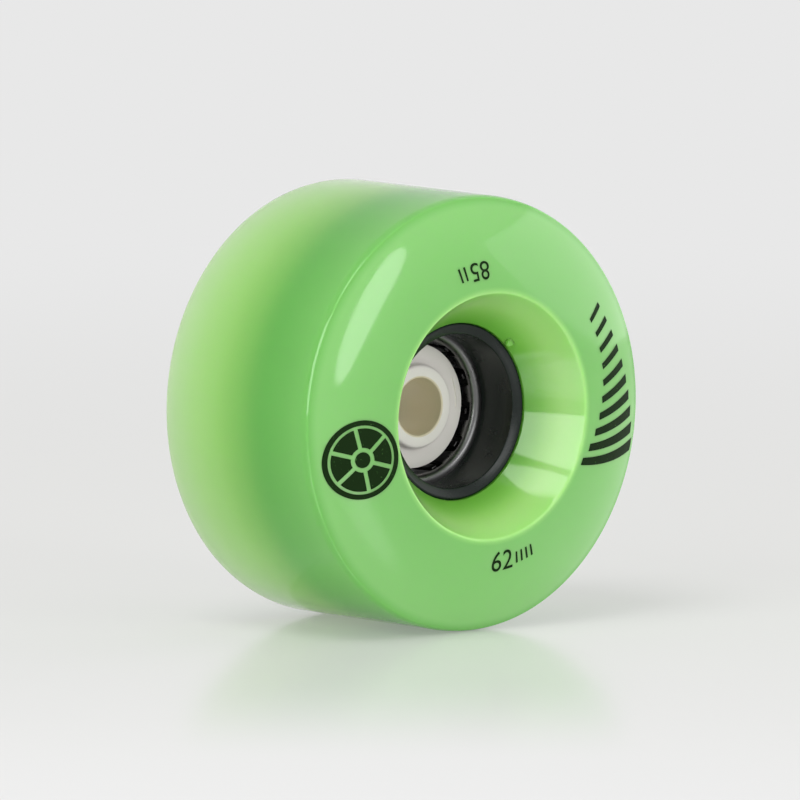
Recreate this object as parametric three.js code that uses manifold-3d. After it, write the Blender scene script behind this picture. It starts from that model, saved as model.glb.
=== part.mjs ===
// A light-up skate wheel, taken apart into the pieces it is assembled from.
// Millimetres, +Z up. The wheel turns about Y and its front face looks towards -Y. The origin is
// the wheel's centre, so the tread touches the ground at z = -WHEEL_DIAMETER / 2.
// Every round piece is a lathe about Y, and its radii are measured across the flats of the lathe.

import * as THREE from 'three';
import { mergeVertices } from 'three/addons/utils/BufferGeometryUtils.js';
import Module from 'manifold-3d';

const wasm = await Module();
wasm.setup();

// ---- Tyre: cast urethane ----
const WHEEL_DIAMETER = 62;
const TREAD_WIDTH = 31; // over the two lips
const LIP_RADIUS = 1.2;
const LIP_TURN = 75; // degrees that a lip curves through before the side face starts
const HUB_WIDTH = 39.4; // over the two dish rims, the widest place of the wheel
const FACE_CROWN = 0.8; // bulge of a side face above the straight line from lip to dish rim
const DISH_RIM_RADIUS = 17.5;
const DISH_SAG = 0.55; // how far the dish wall hollows below the straight line from rim to core

// ---- Core: two plastic shells that hold the bearings and the generator ----
const BEARING_DIAMETER = 22; // outer diameter of a 608 ball bearing
const BEARING_SEAT_DEPTH = 6.75;
const SHOULDER_SPACING = 9.1; // between the two bearing shoulders
const CORE_RING_WALL = 1.6; // radial width of the ring that shows at the bottom of the dish
const CORE_RING_BEVEL = 0.7; // rise of that ring's face from the seat's mouth to its outer edge
const CORE_RING_LAND = 0.8; // straight outer stretch of the ring
const NECK_UNDERCUT = 0.5; // the neck behind the ring, which the urethane grips
const FLANGE_SLOPE = 1.6; // axial fall of the flange's cone
const FLANGE_RISE = 2.05; // the cone's outer end lies this far in front of the shoulder
const DRUM_WALL = 2.4;

// ---- Generator stator: claw plates, yoke, bobbin and winding ----
const SHEET = 0.6; // steel sheet of the claw plates and the yoke
const CLAW_COUNT = 12; // claws on each plate
const CLAW_PHASE = 6.6; // angle of the front plate's first claw, degrees from +X towards +Z
const CLAW_ROOT_WIDTH = 14.7; // degrees
const CLAW_TIP_WIDTH = 5; // degrees
const AIR_GAP = 0.7; // between the rotor's flanges and the claws
const CLAW_TIP_SHORT = 0.5; // how far a claw ends before the other plate's bend
const BEND_RADIUS = 1.15; // outside of the bend between plate and claws
const SHOULDER_SHY = 0.05; // the raised shoulder land ends this far inside the bearing seat's wall
const CLAMP_STEP = 0.1; // the plate's rim, which the core shell clamps, lies this far below the land
const BOBBIN_WALL = 0.5;
const WINDING_THICKNESS = 1.3;
const LEAD_RADIUS = 0.25;
const LEAD_SPREAD = 0.8; // each lead's distance from the middle of the yoke's window
const YOKE_WINDOW_WIDTH = 3.2;

// ---- Light ring ----
const LED_COUNT = 6;
const LED_PHASE = 30; // degrees
const LED_RADIUS = 1.5;
const LED_FLANGE_RADIUS = 1.9;
const LED_FLANGE_THICKNESS = 0.6;
const LED_STEM = 1.6; // straight stretch between the flange and the dome
const BOARD_THICKNESS = 1.0;
const BOARD_OVERHANG = 1.4; // how far the board stands out of the drum
const PEG_RADIUS = 0.5;
const PEG_LENGTH = 2.8; // past the front shell's rear face

// ---- Rotor: the magnet and the plastic spacer on the axle ----
const AXLE_DIAMETER = 8;
const SPACER_TUBE_RADIUS = 6.0;
const SPACER_LENGTH = 10; // it spaces the bearings' inner rings
const SPACER_SET_IN = 0.7; // the loose tube lies slid back: its front end is this far below the shoulder
const ROTOR_FLANGE_RADIUS = 8.9;
const ROTOR_FLANGE_SPACING = 5.3; // over the outer faces of the two flanges
const ROTOR_FLANGE_THICKNESS = 0.6;
const MAGNET_SHY = 0.15; // the magnet stays this far inside the flanges' edge

// ---- Clearances ----
const FIT_GAP = 0.3; // between pieces that seat on each other
const AXLE_CLEARANCE = 0.1; // round the axle
const PEG_CLEARANCE = 0.3; // round a peg
const POCKET_CLEARANCE = 0.4; // round a light in the tyre

// ---- Fineness of the round shapes ----
const ROUND_STEPS = 48; // a multiple of 4, so that a flat facet faces the ground
const SMALL_STEPS = 12;

// ---- Sizes that follow from the ones above ----
const wheelRadius = WHEEL_DIAMETER / 2;
const halfTread = TREAD_WIDTH / 2;
const halfHub = HUB_WIDTH / 2;
const seatRadius = BEARING_DIAMETER / 2;
const shoulder = SHOULDER_SPACING / 2;
const seatMouth = shoulder + BEARING_SEAT_DEPTH;
const ringFace = seatMouth + CORE_RING_BEVEL;
const ringRadius = seatRadius + CORE_RING_WALL;
const neckRadius = ringRadius - NECK_UNDERCUT;
const clawRadius = ROTOR_FLANGE_RADIUS + AIR_GAP; // inside of the claws
const clawOuterRadius = clawRadius + SHEET;
const bendCentreRadius = clawRadius + BEND_RADIUS;
const bendEnd = shoulder - BEND_RADIUS; // where the straight part of a claw starts
const plateBack = shoulder - SHEET;
const landRadius = seatRadius - SHOULDER_SHY;
const stackHalf = plateBack - FIT_GAP; // half height of the yoke and the bobbin
const bobbinRadius = clawOuterRadius + FIT_GAP;
const windingRadius = bobbinRadius + BOBBIN_WALL + FIT_GAP;
const windingOuterRadius = windingRadius + WINDING_THICKNESS;
const bobbinFlangeRadius = windingOuterRadius + FIT_GAP;
const yokeRadius = bobbinFlangeRadius + FIT_GAP;
const yokeOuterRadius = yokeRadius + SHEET;
const drumRadius = yokeOuterRadius + FIT_GAP;
const drumOuterRadius = drumRadius + DRUM_WALL;
const drumEnd = BOARD_THICKNESS / 2 + FIT_GAP;
const flangeEdge = shoulder + FLANGE_RISE;
const boardOuterRadius = drumOuterRadius + BOARD_OVERHANG;
const pegCircleRadius = drumRadius + DRUM_WALL / 2;
const ledSeatRadius = boardOuterRadius + FIT_GAP;
const ledLength = LED_FLANGE_THICKNESS + LED_STEM + LED_RADIUS;
const axleBoreRadius = AXLE_DIAMETER / 2 + AXLE_CLEARANCE;
const spacerFront = SPACER_SET_IN - shoulder;
const spacerBack = spacerFront + SPACER_LENGTH;
const rotorFlangeFace = ROTOR_FLANGE_SPACING / 2;
const magnetHalf = rotorFlangeFace - ROTOR_FLANGE_THICKNESS - FIT_GAP;
const magnetBoreRadius = SPACER_TUBE_RADIUS + FIT_GAP;

// ---- Outline helpers: an outline is a list of [radius, y] points ----

const radians = (degrees) => (degrees * Math.PI) / 180;

/** Points on a circle round [r, y], from one angle to another, both ends included. */
function arc(r, y, radius, fromDegrees, toDegrees, steps) {
  return Array.from({ length: steps + 1 }, (_, i) => {
    const angle = radians(fromDegrees + ((toDegrees - fromDegrees) * i) / steps);
    return [r + radius * Math.cos(angle), y + radius * Math.sin(angle)];
  });
}

/** Inner points of a parabola between two points, bulging to the left of the way from a to b. */
function bow(a, b, bulge, steps) {
  const [dr, dy] = [b[0] - a[0], b[1] - a[1]];
  const length = Math.hypot(dr, dy);
  return Array.from({ length: steps - 1 }, (_, i) => {
    const t = (i + 1) / steps;
    const lift = 4 * bulge * t * (1 - t);
    return [a[0] + dr * t - (dy / length) * lift, a[1] + dy * t + (dr / length) * lift];
  });
}

/** The same outline on the other side of the wheel's middle plane, run backwards. */
const mirrored = (outline) => outline.map(([r, y]) => [r, -y]).reverse();

/** The outline moved to the wheel's front (side -1) or left at its back (side +1). */
const onSide = (outline, side) => outline.map(([r, y]) => [r, y * side]);

// ---- Solid helpers ----

/** A three.js geometry as a solid whose faces point outwards. */
function solidOf(geometry) {
  const bare = new THREE.BufferGeometry();
  bare.setAttribute('position', geometry.getAttribute('position'));
  bare.setIndex(geometry.getIndex());
  const merged = mergeVertices(bare);
  const make = (triVerts) =>
    new wasm.Manifold(
      new wasm.Mesh({
        numProp: 3,
        vertProperties: new Float32Array(merged.getAttribute('position').array),
        triVerts,
      })
    );
  const corners = new Uint32Array(merged.getIndex().array);
  const solid = make(corners);
  return solid.volume() > 0 ? solid : make(corners.reverse());
}

/** A solid as a three.js geometry. */
function geometryOf(solid) {
  const mesh = solid.getMesh();
  const geometry = new THREE.BufferGeometry();
  geometry.setAttribute('position', new THREE.BufferAttribute(mesh.vertProperties, 3));
  geometry.setIndex(new THREE.BufferAttribute(mesh.triVerts, 1));
  geometry.computeVertexNormals();
  return geometry;
}

/** A ring or disc: the closed outline turned about Y. */
function turned(outline, steps = ROUND_STEPS) {
  const stretch = 1 / Math.cos(Math.PI / steps); // from across the flats to across the corners
  const closed = [...outline, outline[0]];
  const points = closed.map(([r, y]) => new THREE.Vector2(r * stretch, y));
  return solidOf(new THREE.LatheGeometry(points, steps, Math.PI / steps));
}

/** The placement of something that points outwards from the axle at an angle. */
function outwards(degrees, radius, y = 0) {
  const outward = new THREE.Vector3(Math.cos(radians(degrees)), 0, Math.sin(radians(degrees)));
  const along = new THREE.Vector3(0, 1, 0);
  const across = new THREE.Vector3().crossVectors(along, outward);
  const place = new THREE.Matrix4().makeBasis(across, along, outward);
  return place.setPosition(outward.clone().multiplyScalar(radius).setY(y));
}

/** A cylinder between two heights on Y, at a radius and an angle round the axle. */
function pinAlongY(radius, low, high, circleRadius, degrees) {
  const geometry = new THREE.CylinderGeometry(radius, radius, high - low, SMALL_STEPS);
  const angle = radians(degrees);
  geometry.translate(circleRadius * Math.cos(angle), (low + high) / 2, circleRadius * Math.sin(angle));
  return solidOf(geometry);
}

/** A cylinder that points outwards from the axle, between two distances from it. */
function pinOutwards(radius, from, to, degrees, across = 0) {
  const geometry = new THREE.CylinderGeometry(radius, radius, to - from, SMALL_STEPS);
  geometry.rotateX(Math.PI / 2);
  geometry.translate(across, 0, (to - from) / 2);
  return solidOf(geometry.applyMatrix4(outwards(degrees, from)));
}

/** Angles of so many equal steps round the wheel, in degrees. */
const around = (count, phase) => Array.from({ length: count }, (_, i) => phase + (360 / count) * i);

const ledAngles = around(LED_COUNT, LED_PHASE);
const pegAngles = around(LED_COUNT, LED_PHASE + 180 / LED_COUNT);
const pegHoleRadius = PEG_RADIUS + PEG_CLEARANCE;

// ---- Tyre ----

/** Outer surface of one half of the core, which the urethane is cast on. */
function coreGrip() {
  return [
    [ringRadius, ringFace],
    [ringRadius, ringFace - CORE_RING_LAND],
    [neckRadius, ringFace - CORE_RING_LAND - NECK_UNDERCUT],
    [neckRadius, flangeEdge + FLANGE_SLOPE],
    [drumOuterRadius, flangeEdge],
    [drumOuterRadius, drumEnd],
  ];
}

/** One half of the tyre's outline, from the middle of the tread round to the core's middle. */
function tyreHalf() {
  const lip = arc(wheelRadius - LIP_RADIUS, halfTread - LIP_RADIUS, LIP_RADIUS, 0, LIP_TURN, 3);
  const rim = [DISH_RIM_RADIUS, halfHub];
  const dishFoot = [ringRadius + FIT_GAP, ringFace];
  const face = bow(lip[lip.length - 1], rim, -FACE_CROWN, 4);
  const dish = bow(rim, dishFoot, DISH_SAG, 3);
  const [, land, neck, neckEnd, flange] = coreGrip().map(([r, y]) => [r + FIT_GAP, y]);
  const bore = [
    land,
    neck,
    [neckEnd[0], neckEnd[1] + FIT_GAP],
    [flange[0], flange[1] + FIT_GAP],
    [flange[0], drumEnd],
    [boardOuterRadius + FIT_GAP, drumEnd],
  ];
  return [...lip, ...face, rim, ...dish, dishFoot, ...bore];
}

function tyre() {
  const ring = turned([...tyreHalf(), ...mirrored(tyreHalf())]);
  const pocketEnd = ledSeatRadius + ledLength + POCKET_CLEARANCE;
  const pockets = ledAngles.map((angle) =>
    pinOutwards(LED_FLANGE_RADIUS + POCKET_CLEARANCE, drumOuterRadius, pocketEnd, angle)
  );
  return pockets.reduce((solid, pocket) => solid.subtract(pocket), ring);
}

// ---- Core shells ----

function coreShell(side) {
  const inner = [
    [drumRadius, drumEnd],
    [drumRadius, shoulder + FIT_GAP],
    [seatRadius, shoulder + FIT_GAP],
    [seatRadius, seatMouth],
  ];
  return turned(onSide([...coreGrip(), ...inner], side));
}

function coreFrontShell() {
  const root = -drumEnd - PEG_LENGTH / 2; // a peg starts inside the shell's own wall
  const pegs = pegAngles.map((angle) =>
    pinAlongY(PEG_RADIUS, root, PEG_LENGTH - drumEnd, pegCircleRadius, angle)
  );
  return pegs.reduce((solid, peg) => solid.add(peg), coreShell(-1));
}

function coreBackShell() {
  const socketEnd = PEG_LENGTH - drumEnd + PEG_CLEARANCE;
  const sockets = pegAngles.map((angle) =>
    pinAlongY(pegHoleRadius, 0, socketEnd, pegCircleRadius, angle)
  );
  return sockets.reduce((solid, socket) => solid.subtract(socket), coreShell(1));
}

// ---- Generator stator ----

/** The gap between two claws: a wedge that widens from the bend to the claws' tips. */
function clawGap(side, degrees) {
  const reach = stackHalf + shoulder; // from the bend past the tips
  const widthAt = (claw) => {
    const half = radians(180 / CLAW_COUNT - claw / 2);
    return clawOuterRadius * Math.tan(half);
  };
  const slope = (widthAt(CLAW_TIP_WIDTH) - widthAt(CLAW_ROOT_WIDTH)) / (2 * bendEnd - CLAW_TIP_SHORT);
  const [narrow, wide] = [widthAt(CLAW_ROOT_WIDTH), widthAt(CLAW_ROOT_WIDTH) + slope * reach];
  const wedge = new THREE.Shape([
    new THREE.Vector2(-narrow, side * bendEnd),
    new THREE.Vector2(narrow, side * bendEnd),
    new THREE.Vector2(wide, side * (bendEnd - reach)),
    new THREE.Vector2(-wide, side * (bendEnd - reach)),
  ]);
  const depth = SHEET + 2 * FIT_GAP;
  const cutter = new THREE.ExtrudeGeometry(wedge, { depth, bevelEnabled: false });
  return solidOf(cutter.applyMatrix4(outwards(degrees, clawRadius - FIT_GAP)));
}

/** A stamped plate whose inner edge is bent over into a crown of claws, below a land for the bearing. */
function clawPlate(side, phase) {
  const tip = CLAW_TIP_SHORT - bendEnd;
  const outline = [
    [yokeOuterRadius, shoulder - CLAMP_STEP],
    [landRadius, shoulder - CLAMP_STEP],
    [landRadius, shoulder],
    ...arc(bendCentreRadius, bendEnd, BEND_RADIUS, 90, 180, 3),
    [clawRadius, tip],
    [clawOuterRadius, tip],
    ...arc(bendCentreRadius, bendEnd, BEND_RADIUS - SHEET, 180, 90, 2),
    [yokeOuterRadius, plateBack],
  ];
  const gaps = around(CLAW_COUNT, phase + 180 / CLAW_COUNT).map((angle) => clawGap(side, angle));
  return gaps.reduce((solid, gap) => solid.subtract(gap), turned(onSide(outline, side)));
}

/** The rolled strip that joins the two plates, with a window for the winding's leads. */
function yokeRing() {
  const strip = turned([
    [yokeRadius, -stackHalf],
    [yokeOuterRadius, -stackHalf],
    [yokeOuterRadius, stackHalf],
    [yokeRadius, stackHalf],
  ]);
  const height = stackHalf + drumEnd + FIT_GAP;
  const window = new THREE.BoxGeometry(YOKE_WINDOW_WIDTH, height, 4 * SHEET);
  window.translate(0, (drumEnd - stackHalf - FIT_GAP) / 2, 0);
  return strip.subtract(solidOf(window.applyMatrix4(outwards(90, yokeRadius + SHEET / 2))));
}

function coilBobbin() {
  const flangeInner = stackHalf - BOBBIN_WALL;
  const half = [
    [bobbinRadius, stackHalf],
    [bobbinFlangeRadius, stackHalf],
    [bobbinFlangeRadius, flangeInner],
    [bobbinRadius + BOBBIN_WALL, flangeInner],
  ];
  return turned([...half, ...mirrored(half)]);
}

function coilWinding() {
  const half = stackHalf - BOBBIN_WALL - FIT_GAP;
  const side = [[windingRadius, half], [windingOuterRadius, half]];
  return turned([...side, ...mirrored(side)]);
}

function coilLead(side) {
  const [from, to] = [windingOuterRadius + FIT_GAP, drumRadius - FIT_GAP];
  return pinOutwards(LEAD_RADIUS, from, to, 90, side * LEAD_SPREAD);
}

// ---- Light ring ----

function ledBoard() {
  const half = [[drumRadius, BOARD_THICKNESS / 2], [boardOuterRadius, BOARD_THICKNESS / 2]];
  const holes = pegAngles.map((angle) =>
    pinAlongY(pegHoleRadius, -drumEnd, drumEnd, pegCircleRadius, angle)
  );
  const ring = turned([...half, ...mirrored(half)]);
  return holes.reduce((solid, hole) => solid.subtract(hole), ring);
}

/** A domed light, lying outwards on the board's edge. */
function led(degrees) {
  const domeStart = LED_FLANGE_THICKNESS + LED_STEM;
  const outline = [
    [0, 0],
    [LED_FLANGE_RADIUS, 0],
    [LED_FLANGE_RADIUS, LED_FLANGE_THICKNESS],
    [LED_RADIUS, LED_FLANGE_THICKNESS],
    ...arc(0, domeStart, LED_RADIUS, 0, 60, 2),
    [0, domeStart + LED_RADIUS],
  ].map(([r, y]) => new THREE.Vector2(r, y));
  const dome = new THREE.LatheGeometry(outline, SMALL_STEPS);
  dome.rotateX(Math.PI / 2);
  return solidOf(dome.applyMatrix4(outwards(degrees, ledSeatRadius)));
}

// ---- Rotor ----

/** The spacer tube and its front flange, in one moulding. */
function spacerSleeve() {
  return turned([
    [axleBoreRadius, spacerFront],
    [SPACER_TUBE_RADIUS, spacerFront],
    [SPACER_TUBE_RADIUS, -rotorFlangeFace],
    [ROTOR_FLANGE_RADIUS, -rotorFlangeFace],
    [ROTOR_FLANGE_RADIUS, ROTOR_FLANGE_THICKNESS - rotorFlangeFace],
    [SPACER_TUBE_RADIUS, ROTOR_FLANGE_THICKNESS - rotorFlangeFace],
    [SPACER_TUBE_RADIUS, spacerBack],
    [axleBoreRadius, spacerBack],
  ]);
}

function magnetRing() {
  const side = [[magnetBoreRadius, magnetHalf], [ROTOR_FLANGE_RADIUS - MAGNET_SHY, magnetHalf]];
  return turned([...side, ...mirrored(side)]);
}

/** The loose flange that closes the magnet in from the back. */
function spacerBackFlange() {
  const [low, high] = [rotorFlangeFace - ROTOR_FLANGE_THICKNESS, rotorFlangeFace];
  return turned([
    [magnetBoreRadius, low],
    [ROTOR_FLANGE_RADIUS, low],
    [ROTOR_FLANGE_RADIUS, high],
    [magnetBoreRadius, high],
  ]);
}

// ---- Assembly ----

const wheel = new THREE.Group();

function add(group, name, solid, color, roughness, metalness, extra = {}) {
  const material = new THREE.MeshStandardMaterial({ color, roughness, metalness, ...extra });
  const mesh = new THREE.Mesh(geometryOf(solid), material);
  mesh.name = name;
  group.add(mesh);
}

const body = new THREE.Group();
add(body, 'tyre', tyre(), 0x8ccc74, 0.35, 0, { transparent: true, opacity: 0.95 });
add(body, 'core_front_shell', coreFrontShell(), 0x1e2421, 0.35, 0);
add(body, 'core_back_shell', coreBackShell(), 0x1e2421, 0.35, 0);
add(body, 'claw_plate_front', clawPlate(-1, CLAW_PHASE), 0xa8a8a8, 0.3, 1);
add(body, 'claw_plate_back', clawPlate(1, CLAW_PHASE + 180 / CLAW_COUNT), 0xa8a8a8, 0.3, 1);
add(body, 'yoke_ring', yokeRing(), 0x8e8e90, 0.4, 1);
add(body, 'coil_bobbin', coilBobbin(), 0x151515, 0.5, 0);
add(body, 'coil_winding', coilWinding(), 0xb0592c, 0.35, 0.9);
add(body, 'coil_lead_start', coilLead(-1), 0xb0592c, 0.35, 0.9);
add(body, 'coil_lead_end', coilLead(1), 0xb0592c, 0.35, 0.9);
add(body, 'led_board', ledBoard(), 0x1f5b38, 0.5, 0);
ledAngles.forEach((angle, i) => add(body, `led_${i + 1}`, led(angle), 0xe6f3e2, 0.15, 0));

const rotor = new THREE.Group();
add(rotor, 'spacer_sleeve', spacerSleeve(), 0xcac6b6, 0.45, 0);
add(rotor, 'spacer_back_flange', spacerBackFlange(), 0xcac6b6, 0.45, 0);
add(rotor, 'magnet_ring', magnetRing(), 0x4b4b4f, 0.4, 0.6);

wheel.add(body, rotor);

export default wheel;
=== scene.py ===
"""The looks of a light-up skate wheel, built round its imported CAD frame.

The wheel turns about Y, its printed face looks towards -Y and it stands on its tread. Outlines are
drawn in millimetres, as points of (radius, distance along the axle), and every finished piece is in
metres. Angles round the wheel are measured from +X towards +Z.
"""

import logging
import math
from collections.abc import Callable
from dataclasses import dataclass, field
from enum import Enum

import bmesh
import bpy
from mathutils import Matrix, Vector

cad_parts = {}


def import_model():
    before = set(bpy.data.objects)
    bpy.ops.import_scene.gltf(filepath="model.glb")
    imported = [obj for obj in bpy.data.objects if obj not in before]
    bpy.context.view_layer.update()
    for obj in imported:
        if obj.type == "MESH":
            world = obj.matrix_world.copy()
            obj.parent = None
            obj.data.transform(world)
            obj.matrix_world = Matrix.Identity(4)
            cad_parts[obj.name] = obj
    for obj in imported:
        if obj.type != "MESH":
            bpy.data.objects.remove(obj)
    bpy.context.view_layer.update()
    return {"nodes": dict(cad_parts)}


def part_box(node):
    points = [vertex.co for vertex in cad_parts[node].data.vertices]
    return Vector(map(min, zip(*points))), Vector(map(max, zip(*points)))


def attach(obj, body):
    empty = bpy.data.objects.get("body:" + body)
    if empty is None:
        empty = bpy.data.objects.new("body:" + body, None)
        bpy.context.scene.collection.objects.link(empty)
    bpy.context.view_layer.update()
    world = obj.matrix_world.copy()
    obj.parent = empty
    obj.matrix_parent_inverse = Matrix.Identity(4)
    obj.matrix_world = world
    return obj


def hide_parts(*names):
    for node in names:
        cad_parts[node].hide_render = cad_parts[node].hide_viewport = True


log = logging.getLogger("skate_wheel")

MM = 0.001
ROUND_STEPS = 192  # flats round a piece that shows
HIDDEN_STEPS = 96  # flats round a piece inside the core
CREASE = math.radians(32)  # edges that turn more than this are shaded sharp
SEAM = 0.05  # what is left between pieces that are cast or pressed together

Point = tuple[float, float]
Span = tuple[float, float]
Corner = tuple[float, float, float]
Colour = tuple[float, float, float, float]


class Side(Enum):
    """A side of the wheel, as the sign of its y."""

    FRONT = -1
    BACK = 1

    @property
    def word(self) -> str:
        """The side's name, as it stands in the names of the pieces."""
        return self.name.lower()


class Body(Enum):
    """The two bodies that turn against each other."""

    WHEEL = "wheel"
    SPACER = "spacer"


class Seen(Enum):
    """The kinds of ray that see the backdrop and not the studio's fill light."""

    CAMERA = "Is Camera Ray"
    GLOSSY = "Is Glossy Ray"
    TRANSMISSION = "Is Transmission Ray"


# ---- Outlines ----


def arc(r: float, y: float, radius: float, start: float, end: float, steps: int) -> list[Point]:
    """Points on a circle round (r, y).

    Args:
        r: Radius of the circle's centre from the axle.
        y: Place of the centre along the axle.
        radius: Radius of the circle.
        start: First angle, in degrees.
        end: Last angle, in degrees.
        steps: Number of equal steps.

    Returns:
        The points, both ends included.
    """
    turn = [math.radians(start + (end - start) * i / steps) for i in range(steps + 1)]
    return [(r + radius * math.cos(a), y + radius * math.sin(a)) for a in turn]


def bow(a: Point, b: Point, bulge: float, steps: int) -> list[Point]:
    """Inner points of a parabola between two points.

    Args:
        a: First point.
        b: Last point.
        bulge: Height over the straight line, to the left of the way from a to b.
        steps: Number of steps between a and b.

    Returns:
        The points between a and b, without a and b.
    """
    dr, dy = b[0] - a[0], b[1] - a[1]
    length = math.hypot(dr, dy)
    points = []
    for i in range(1, steps):
        t = i / steps
        lift = 4 * bulge * t * (1 - t) / length
        points.append((a[0] + dr * t - dy * lift, a[1] + dy * t + dr * lift))
    return points


def fillet(before: Point, corner: Corner, after: Point, steps: int = 5) -> list[Point]:
    """A rounded corner between two straight lines.

    Args:
        before: Any earlier point on the first line.
        corner: Where the lines meet, and the radius of the round.
        after: Any later point on the second line.
        steps: Number of steps round the arc.

    Returns:
        Points on the arc, or the corner alone where the radius is 0.
    """
    r, y, radius = corner
    if radius <= 0:
        return [(r, y)]
    tip = Vector((r, y))
    back = (Vector(before) - tip).normalized()
    on = (Vector(after) - tip).normalized()
    half = back.angle(on) / 2
    centre = tip + (back + on).normalized() * radius / math.sin(half)
    reach = radius / math.tan(half)
    first, last = tip + back * reach - centre, tip + on * reach - centre
    start = math.atan2(first.y, first.x)
    turn = (math.atan2(last.y, last.x) - start + math.pi) % math.tau - math.pi
    return arc(centre.x, centre.y, radius, math.degrees(start), math.degrees(start + turn), steps)


def rounded(corners: list[Corner], steps: int = 5) -> list[Point]:
    """A closed outline of straight lines with rounded corners.

    Args:
        corners: Each corner's radius from the axle, place along it, and rounding.
        steps: Number of steps round each corner.

    Returns:
        The outline's points.
    """
    points = []
    for i, corner in enumerate(corners):
        before, after = corners[i - 1], corners[(i + 1) % len(corners)]
        points += fillet(before[:2], corner, after[:2], steps)
    return points


def on_side(outline: list[Point], side: Side) -> list[Point]:
    """The outline on the given side of the wheel's middle."""
    return [(r, y * side.value) for r, y in outline]


def both_sides(half: list[Point]) -> list[Point]:
    """A closed outline from its back half, drawn from the outside in, and its mirror image."""
    return half + [(r, -y) for r, y in reversed(half)]


def polar(radius: float, degrees: float, y: float = 0.0) -> Vector:
    """The point at a radius and an angle round the axle."""
    angle = math.radians(degrees)
    return Vector((radius * math.cos(angle), y, radius * math.sin(angle)))


def turn_to(degrees: float) -> Matrix:
    """The turn about the axle that brings +X to an angle."""
    return Matrix.Rotation(-math.radians(degrees), 4, "Y")


def bearing(azimuth: float, elevation: float) -> Vector:
    """A direction from the wheel's centre.

    Args:
        azimuth: Degrees from the front of the printed face towards +X.
        elevation: Degrees over the floor.

    Returns:
        The direction, of length 1.
    """
    side, up = math.radians(azimuth), math.radians(elevation)
    return Vector((math.sin(side) * math.cos(up), -math.cos(side) * math.cos(up), math.sin(up)))


def stand(name: str, data: bpy.types.ID) -> bpy.types.Object:
    """Puts a new object in the scene.

    Args:
        name: The object's name.
        data: Its mesh, lamp or camera.

    Returns:
        The object.
    """
    made = bpy.data.objects.new(name, data)
    bpy.context.scene.collection.objects.link(made)
    return made


def linear(red: int, green: int, blue: int) -> Colour:
    """An eight-bit display colour as the linear colour that a shader takes.

    Args:
        red: Red, 0 to 255.
        green: Green.
        blue: Blue.

    Returns:
        The linear colour, opaque.
    """
    channels = []
    for value in (red / 255, green / 255, blue / 255):
        channels.append(value / 12.92 if value <= 0.04045 else ((value + 0.055) / 1.055) ** 2.4)
    return (*channels, 1.0)


# ---- Mesh work ----


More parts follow.
